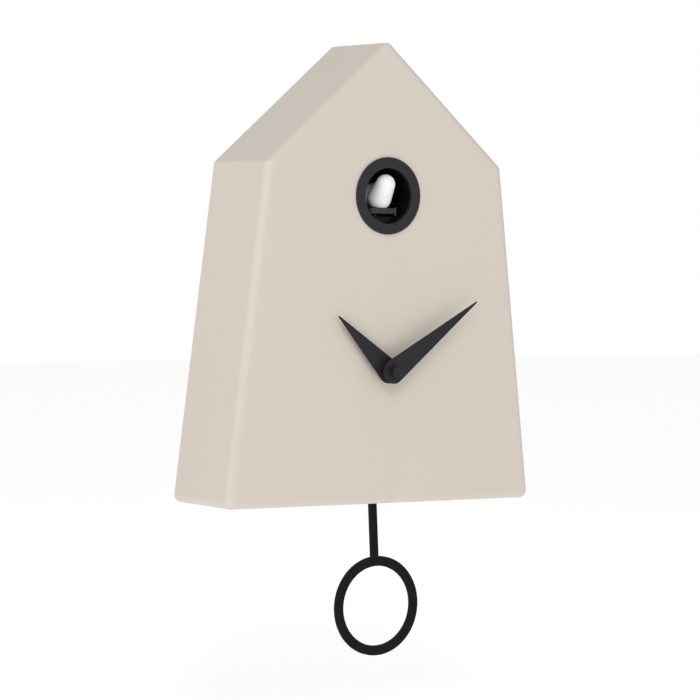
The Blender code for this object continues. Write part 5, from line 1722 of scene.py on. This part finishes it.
@dataclass
class RingPendulum:
    """The flat rod and ring on their lever. In millimetres, the swing in degrees."""

    pivot_up: float = 118.0
    swing: float = 3.55
    drop: float = 196.9
    radius: float = 37.2
    hole: float = 29.8
    rod: float = 6.8
    hook_drop: float = 54.0
    hook_radius: float = 1.7
    front: float = -23.9
    back: float = -25.9
    rod_over_hook: float = 1.5

    def swung(self, x: float, y: float) -> Point2:
        """A point below the pivot at the stored swing, in the scene's x and z.

        Args:
            x: Across the plumb pendulum.
            y: Up from the pivot.

        Returns:
            The scene's x and z.
        """
        angle = math.radians(self.swing)
        across = x * math.cos(angle) - y * math.sin(angle)
        rise = x * math.sin(angle) + y * math.cos(angle)
        return spot(across, self.pivot_up + rise)

    def rim(self, radius: float, drop: float, steps: int) -> list[Point2]:
        """A circle below the pivot."""
        return [self.swung(x, y - drop) for x, y in ring_of(radius, steps=steps)]

    def build(self) -> None:
        """The pendulum and its lever, standing for their CAD nodes."""
        half = self.rod / 2
        spread = math.asin(half / self.radius)
        outer = []
        steps = 128
        for i in range(steps + 1):
            angle = math.pi / 2 + spread + (2 * math.pi - 2 * spread) * i / steps
            x, y = self.radius * math.cos(angle), self.radius * math.sin(angle)
            outer.append(self.swung(x, y - self.drop))
        top_steps = 16
        for i in range(top_steps + 1):
            angle = math.pi * i / top_steps
            top = -self.hook_drop + self.rod_over_hook + half * math.sin(angle)
            outer.append(self.swung(half * math.cos(angle), top))
        holes = [
            self.rim(self.hole, self.drop, 112),
            self.rim(self.hook_radius, self.hook_drop, 24),
        ]
        sheet = flat_plate("ring_and_rod", [outer, *holes], depth(self.front), depth(self.back))
        sheet = softened(sheet, 0.2 * MM, 2, 40)
        dressed(sheet, Palette.pendulum, "pendulum", ["pendulum"])
        finish = Palette.control
        refined("pendulum_lever", "swing_lever", finish, "pendulum", 0.25 * MM)
        refined("drive_magnet", "lever_magnet", Palette.ferrite, "pendulum", 0.15 * MM)
        refined("pivot_pin", "lever_pin", Palette.steel, "clock", 0.12 * MM)


@dataclass
class BackPanel:
    """The screwed back with its openings and its pan-head screws. In millimetres."""

    rear: float = -72.5
    front: float = -70.0
    inset: float = 3.1
    corner: float = 5.0
    keyhole_neck: float = 2.3
    keyhole_head: float = 4.75
    keyhole_drop: float = 9.0
    cone_radius: float = 19.0
    slot_count: int = 5
    slot_pitch: float = 7.0
    slot_half: float = 1.5
    access_low: Point2 = (-38, 46)
    access_high: Point2 = (38, 138)
    door_half: Point2 = (28.25, 15.4)
    volume_low: Point2 = (46.5, 110)
    volume_high: Point2 = (57.5, 114)
    button_place: Point2 = (76, 112)
    button_hole: float = 3.5
    screw_hole: float = 1.55
    screw_out: float = -72.8
    chassis_screw_out: float = -28.8
    house: HouseBody = field(default_factory=HouseBody)

    def keyhole(self) -> list[Point2]:
        """A round hole with a slot above it.

        Returns:
            The outline.
        """
        neck, head, top = self.keyhole_neck, self.keyhole_head, float(ORIGIN_UP)
        middle = top - self.keyhole_drop
        spread = math.asin(neck / head)
        points = []
        head_steps, neck_steps = 40, 16
        for i in range(head_steps + 1):
            angle = math.pi / 2 + spread + (2 * math.pi - 2 * spread) * i / head_steps
            points.append((head * math.cos(angle), middle + head * math.sin(angle)))
        for i in range(neck_steps + 1):
            angle = math.pi * i / neck_steps
            points.append((neck * math.cos(angle), top + neck * math.sin(angle)))
        return in_metres(points)

    def grille(self) -> list[list[Point2]]:
        """The sound openings, each as long as the cone is wide there.

        Returns:
            An outline for each slot.
        """
        slots = []
        half = self.slot_half
        middle, up = SPEAKER_MIDDLE
        upper = [math.pi * i / 10 for i in range(11)]
        for number in range(self.slot_count):
            across = (number - self.slot_count // 2) * self.slot_pitch
            reach = math.sqrt(self.cone_radius**2 - across**2) - half
            centre = middle + across
            ends = [(half * math.cos(t), reach + half * math.sin(t)) for t in upper]
            points = [(centre + x, up + y) for x, y in ends]
            points += [(centre - x, up - y) for x, y in ends]
            slots.append(in_metres(points))
        return slots

    def screw_rows(self) -> list[tuple[float, float]]:
        """Half the distance between a row's two screws, and the row's height."""
        return [(self.house.half_width(up) - SCREW_INSET, up) for up in self.house.boss_heights]

    def build(self) -> None:
        """The panel and its screws, standing for their CAD nodes."""
        (door_x, door_up), (door_half, door_rise) = BATTERY_MIDDLE, self.door_half
        door_low = spot(door_x - door_half, door_up - door_rise)
        door_high = spot(door_x + door_half, door_up + door_rise)
        holes = [
            box_outline(spot(*self.access_low), spot(*self.access_high), 8 * MM, 10),
            box_outline(door_low, door_high, 1 * MM, 4),
            box_outline(spot(*self.volume_low), spot(*self.volume_high), 0.5 * MM, 4),
            ring_of(self.button_hole * MM, spot(*self.button_place), 40),
            self.keyhole(),
            *self.grille(),
        ]
        for across, up in self.screw_rows():
            for side in (-1, 1):
                holes.append(ring_of(self.screw_hole * MM, spot(side * across, up), 24))
        outer = self.house.outline(self.inset, self.corner)
        panel = flat_plate("back_cover", [outer, *holes], depth(self.front), depth(self.rear))
        panel = softened(panel, 0.35 * MM, 2, 40)
        dressed(panel, Palette.panel, "clock", ["back_panel"])
        rows = []
        for across, up in self.screw_rows():
            row = screw_row(f"row_{up:.0f}", -across, up, 2 * across, self.screw_out)
            rows.append(row)
        nodes = [f"panel_screw_{number}" for number in (1, 2, 3, 4)]
        screws = merged("back_screws", rows)
        dressed(screws, Palette.steel, "clock", nodes)
        inner = screw_row(
            "chassis_screws",
            -CHASSIS_SCREW_ACROSS,
            CHASSIS_SCREW_UP,
            2 * CHASSIS_SCREW_ACROSS,
            self.chassis_screw_out,
        )
        dressed(inner, Palette.steel, "clock", ["chassis_screw_1", "chassis_screw_2"])


def pan_head_screw() -> bpy.types.Object:
    """A cross-recessed screw about the origin, the underside of its head at y = 0.

    Returns:
        The screw, used as a template.
    """
    shape = [
        (0.0, 1.5),
        (1.4, 1.5),
        (2.2, 1.25),
        (2.7, 0.75),
        (2.9, 0.15),
        (2.75, 0.0),
        (1.25, 0.0),
        (1.25, -8.4),
        (0.6, -9.0),
        (0.0, -9.0),
    ]
    screw = lathed("screw", [(radius * MM, y * MM) for radius, y in shape], (0, 0), 28)
    reach, half = 1.74 * MM, 0.4 * MM
    bottom, top = 0.9 * MM, 2.0 * MM
    upright = block("upright", (-half, bottom, -reach), (half, top, reach))
    across = block("across", (-reach, bottom, -half), (reach, top, half))
    cut_by(screw, upright, across)
    return softened(screw, 0.0, sharp=30)


def screw_row(name: str, start: float, up: float, step: float, out: float) -> bpy.types.Object:
    """Two screws in a row, each with its recess turned its own way.

    Args:
        name: The row's name.
        start: The first screw's x, in millimetres.
        up: Their height.
        step: From the first to the second.
        out: The underside of their heads.

    Returns:
        The row as one plain mesh.
    """
    template = pan_head_screw()
    row = copies_on_points(Palette.steel).made(
        name,
        Template=template,
        Count=2,
        Start=(start * MM, depth(out), level(up)),
        Step=(step * MM, 0.0, 0.0),
        Turn=math.radians(up),
        Turn_Step=math.radians(37),
    )
    bpy.data.objects.remove(template)
    return row


@dataclass
class BatteryBox:
    """Two cells in a box behind a sliding door. In millimetres."""

    across: float = BATTERY_MIDDLE[0]
    up: float = BATTERY_MIDDLE[1]
    rib_radius: float = 0.5
    rib_half: float = 8
    rib_step: float = 2.2
    first_rib: float = 1.45
    ribs_out: float = -73.95
    ribs: int = 5

    def grip(self) -> bpy.types.Object:
        """Half-round ribs on the door, under a finger.

        Returns:
            The ribs as one plain mesh.
        """
        half = self.rib_half * MM
        template = rod_along("rib", "Z", self.rib_radius * MM, -half, half, (0, 0, 0))
        ribs = copies_on_points(Palette.door).made(
            "door_ribs",
            Template=template,
            Count=self.ribs,
            Start=(
                (self.across - BackPanel.door_half[0] + self.first_rib) * MM,
                depth(self.ribs_out),
                level(self.up),
            ),
            Step=(self.rib_step * MM, 0.0, 0.0),
        )
        bpy.data.objects.remove(template)
        return softened(ribs, 0.0)

    def build(self) -> None:
        """Box, contacts, cells and door."""
        door = softened(copy_of("battery_door", "battery_door_cover"), 0.25 * MM)
        whole = merged("battery_door_cover", [door, self.grip()])
        dressed(whole, Palette.door, "battery_door", ["battery_door"])
        refined("battery_box", "battery_tray", Palette.panel, "clock", 0.25 * MM)
        for side, flipped in ((1, False), (2, True)):
            wrap = CellWrap(f"cell_wrap_{side}", self.across * MM, flipped=flipped)
            node = f"battery_cell_{side}"
            refined(node, f"dry_cell_{side}", wrap, "clock", 0.5 * MM)
        for side in ("left", "right"):
            node, name = f"battery_contact_{side}", f"spring_strip_{side}"
            refined(node, name, Palette.steel, "clock", 0.1 * MM)


@dataclass
class SoundUnit:
    """Speaker, circuit board and the two controls. In millimetres."""

    board_across: float = 68.0
    board_up: float = 112.0
    board_rear: float = -64.8
    board_half: Point2 = (24, 15)
    board_thickness: float = 1.6
    leg_half: Point3 = (0.25, 0.35, 0.4)
    leg_rows: tuple[float, float] = (-0.25, 8.25)
    first_leg: float = 2.6
    leg_step: float = 2.3
    pins: int = 5
    cone_base: float = -69.7

    def part(self, name: str, finish: Finish, low: Point3, high: Point3) -> bpy.types.Object:
        """One component, between (x, up, out) places about the board's middle.

        Args:
            name: The piece's name.
            finish: Its finish.
            low: One corner.
            high: The opposite corner.

        Returns:
            The finished piece.
        """
        x, up = self.board_across, self.board_up
        corner = ((x + low[0]) * MM, depth(low[2]), level(up + low[1]))
        other = ((x + high[0]) * MM, depth(high[2]), level(up + high[1]))
        piece = softened(block(name, corner, other), 0.2 * MM)
        return dressed(piece, finish, "clock")

    def chip_legs(self, front: float) -> bpy.types.Object:
        """Two rows of legs beside the chip.

        Args:
            front: How far out the board's front lies.

        Returns:
            The legs as one plain mesh.
        """
        rows = []
        half = [size * MM for size in self.leg_half]
        start = (self.board_across - self.first_leg) * MM
        for up in self.leg_rows:
            template = block("leg", tuple(-size for size in half), tuple(half))
            row = copies_on_points(Palette.steel).made(
                "legs",
                Template=template,
                Count=self.pins,
                Start=(start, depth(front + self.leg_half[1]), level(self.board_up + up)),
                Step=(self.leg_step * MM, 0.0, 0.0),
            )
            rows.append(row)
            bpy.data.objects.remove(template)
        return merged("chip_legs", rows)

    def build_board(self) -> None:
        """The board and its components, standing for one CAD node."""
        rear, front = self.board_rear, self.board_rear + self.board_thickness
        x, up = self.board_across, self.board_up
        half, rise = self.board_half
        outline = box_outline(spot(x - half, up - rise), spot(x + half, up + rise), 1 * MM, 4)
        board = flat_plate("sound_card", [outline], depth(front), depth(rear))
        board = softened(board, 0.12 * MM)
        dressed(board, Palette.board, "clock", ["sound_board"])
        self.part("sound_chip", Palette.case, (-4, 0, front - 0.1), (8, 8, front + 1.6))
        self.part("filter_block", Palette.can, (14, -10, front - 0.1), (20, -4, front + 6))
        self.part("lead_socket", Palette.gears, (-22, 6, front - 0.1), (-12, 12, front + 4))
        dressed(self.chip_legs(front), Palette.steel, "clock")

    def build(self) -> None:
        """Speaker, board and controls."""
        centre = spot(*SPEAKER_MIDDLE)
        cone_finish = RingedCone(
            "speaker_paper", tone(34, 34, 35), tone(58, 57, 57), (centre[0], 0.0, centre[1])
        )
        shape = [
            (0.0, 7.0),
            (3.0, 7.0),
            (4.5, 6.6),
            (20.0, 1.6),
            (20.9, 1.6),
            (20.9, 0.8),
            (19.7, 0.8),
            (6.0, 5.6),
            (4.5, 4.9),
            (2.5, 4.4),
            (0.0, 4.2),
        ]
        profile = [(radius * MM, depth(self.cone_base + out)) for radius, out in shape]
        cone = softened(lathed("paper_cone", profile, centre, 96), 0.0, sharp=35)
        dressed(cone, cone_finish, "clock", ["speaker_cone"])
        refined("speaker_basket", "speaker_frame", Palette.can, "clock", 0.2 * MM)
        refined("speaker_magnet", "speaker_slug", Palette.ferrite, "clock", 0.4 * MM)
        self.build_board()
        for node, name, edge in (
            ("volume_slider", "volume_knob", 0.2 * MM),
            ("test_button", "chime_button", 0.3 * MM),
        ):
            refined(node, name, Palette.control, node, edge)
        refined("light_sensor", "clear_sensor", Palette.lens, "clock", 0.3 * MM)


@dataclass
class ClockMovement:
    """The quartz movement: case, train, coils, cell and setting knob. In millimetres."""

    knob_ribs: int = 24
    knob_radius: float = 5.05
    knob_out: float = -24.6
    rib_radius: float = 0.32
    rib_half: float = 3.2
    gear_distance: float = 10
    gear_angles: tuple[float, float] = (-60, -20)

    def knob_centre(self) -> Point2:
        """The setting knob's place in the front view: past the motion wheel, below the hands.

        Returns:
            Across and up, in millimetres.
        """
        first, second = (math.radians(angle) for angle in self.gear_angles)
        apart = self.gear_distance
        across = apart * math.cos(first) + apart * math.cos(second)
        return (across, HANDS_UP + apart * math.sin(first) + apart * math.sin(second))

    def build_knob(self) -> None:
        """The knob, its grip ribbed all round."""
        knob = softened(copy_of("setting_knob", "hand_setter"), 0.12 * MM)
        centre = spot(*self.knob_centre())
        half = self.rib_half * MM
        template = rod_along("rib", "Y", self.rib_radius * MM, -half, half, (0, 0, 0))
        ribs = copies_round_axis(Palette.control).made(
            "knob_ribs",
            Template=template,
            Count=self.knob_ribs,
            Radius=self.knob_radius * MM,
            Centre=(centre[0], depth(self.knob_out), centre[1]),
        )
        bpy.data.objects.remove(template)
        whole = merged("hand_setter", [knob, softened(ribs, 0.0)])
        dressed(whole, Palette.control, "setting_knob", ["setting_knob"])

    def build(self) -> None:
        """Case, knob and cell; the wheels keep their own toothed shapes."""
        for end in ("front", "back"):
            node, name = f"movement_{end}_case", f"movement_{end}_cover"
            refined(node, name, Palette.case, "clock", 0.4 * MM)
        self.build_knob()
        wrap = CellWrap("cell_wrap_movement", 0.0)
        refined("movement_cell", "movement_dry_cell", wrap, "clock", 0.5 * MM)
        for wheel in ("centre_wheel", "motion_wheel", "hour_wheel", "third_wheel", "second_wheel"):
            painted(wheel, Palette.gears)
        painted("stepper_coil", Palette.copper)
        painted("drive_coil", Palette.coil)
        painted("stepper_core", Palette.steel)
        painted("movement_board", Palette.board)


@dataclass
class CuckooDrive:
    """Chassis, motor and gears that push the bird out."""

    edge: float = 0.25 * MM

    def build(self) -> None:
        """Each moulding and metal piece with its edges eased."""
        finish = Palette.carriage
        refined("cuckoo_chassis", "drive_chassis", finish, "clock", self.edge)
        refined("cuckoo_motor", "drive_motor", Palette.can, "clock", self.edge)
        refined("drive_pin", "gear_pin", Palette.steel, "clock", 0.1 * MM)
        painted("drive_gear", Palette.gears)
        painted("motor_pinion", Palette.brass)


@dataclass(frozen=True)
class SoftLight:
    """A square soft light: its place and side in metres, its power in watts."""

    name: str
    place: Point3
    size: float
    power: float


@dataclass
class Studio:
    """Floor, light and camera. In metres and degrees."""

    place: Point3 = (-1.27604, -1.9297, -0.09425)
    turn: float = 33.859
    tilt: float = 2.105
    roll: float = 0.866
    lens: float = 157.7013
    floor_z: float = -0.47
    floor_half: float = 6.0
    sensor: float = 36.0
    sky: float = 0.62
    floor_glow: float = 0.34
    aim: Point3 = (0.0, -0.07, -0.15)
    lights: tuple[SoftLight, ...] = (
        SoftLight("key", (-1.1, -1.9, 1.3), 0.8, 14.5),
        SoftLight("side", (-1.9, -0.6, 0.5), 1.2, 5.0),
    )

    def build(self) -> None:
        """The whole studio."""
        self.build_floor()
        self.build_light()
        self.build_camera()
        bpy.context.scene.view_settings.view_transform = "Standard"

    def build_floor(self) -> None:
        """A plain white floor."""
        half = self.floor_half
        work = bmesh.new()
        corners = [(-half, -half), (half, -half), (half, half), (-half, half)]
        work.faces.new([work.verts.new((x, y, self.floor_z)) for x, y in corners])
        floor = fresh_object("studio_floor", work)
        paint = SurfaceGraph("white_floor").finish(
            Base_Color=WHITE,
            Roughness=0.9,
            Specular_Level=0.0,
            Emission_Color=WHITE,
            Emission_Strength=self.floor_glow,
        )
        floor.data.materials.append(paint)

    def build_light(self) -> None:
        """An even sky, plain white where the camera sees it, and two soft lights on the left."""
        world = bpy.data.worlds.new("white_room")
        bpy.context.scene.world = world
        world.use_nodes = True
        graph = Graph(world.node_tree)
        graph.tree.nodes.clear()
        lit = graph.node("ShaderNodeBackground", None, {"Color": WHITE, "Strength": self.sky})
        seen = graph.node("ShaderNodeBackground", None, {"Color": WHITE, "Strength": 1.0})
        direct = graph.node("ShaderNodeLightPath", output="Is Camera Ray")
        sky = graph.node("ShaderNodeMixShader", None, {0: direct, 1: lit, 2: seen})
        graph.node("ShaderNodeOutputWorld", None, {"Surface": sky})
        for light in self.lights:
            self.hang(light)

    def hang(self, light: SoftLight) -> None:
        """Sets up one light, aimed at the clock.

        Args:
            light: The light.
        """
        lamp = bpy.data.lights.new(light.name, "AREA")
        lamp.shape = "SQUARE"
        lamp.size = light.size
        lamp.energy = light.power
        holder = bpy.data.objects.new(light.name, lamp)
        bpy.context.scene.collection.objects.link(holder)
        towards = Vector(self.aim) - Vector(light.place)
        turn = towards.to_track_quat("-Z", "Y").to_matrix().to_4x4()
        holder.matrix_world = Matrix.Translation(light.place) @ turn

    def build_camera(self) -> None:
        """The camera: to the left of the clock and a little above its middle."""
        turn, tilt, roll = (math.radians(a) for a in (self.turn, self.tilt, self.roll))
        flat = math.cos(tilt)
        back = Vector((-math.sin(turn) * flat, -math.cos(turn) * flat, math.sin(tilt)))
        right = (-back).cross(Vector((0, 0, 1))).normalized()
        up = right.cross(-back)
        across = right * math.cos(roll) + up * math.sin(roll)
        rise = up * math.cos(roll) - right * math.sin(roll)
        camera = bpy.data.cameras.new("view")
        camera.lens = self.lens
        camera.sensor_width = self.sensor
        holder = bpy.data.objects.new("view", camera)
        bpy.context.scene.collection.objects.link(holder)
        axes = Matrix((across, rise, back)).transposed().to_4x4()
        holder.matrix_world = Matrix.Translation(self.place) @ axes
        bpy.context.scene.camera = holder


def main() -> None:
    """Builds the clock, sub-assembly by sub-assembly, and the studio round it."""
    logging.basicConfig(level=logging.INFO, format="%(message)s")
    steps: list[Callable[[], object]] = [
        HouseBody().build,
        RoundWindow().build,
        CuckooBird().build,
        Hand("hour_pointer", "hour_hand", "hour_hand_and_wheel", 60.8, 4.7, -48.1, 2.7).build,
        Hand("minute_pointer", "minute_hand", "minute_hand_and_arbor", 90.2, 10.8, 55.4, 1.6).build,
        HandShaft().build,
        RingPendulum().build,
        BackPanel().build,
        BatteryBox().build,
        SoundUnit().build,
        ClockMovement().build,
        CuckooDrive().build,
        Studio().build,
    ]
    for step in steps:
        step()
    LOG.info("all pieces built")


if __name__ == "__main__":
    main()
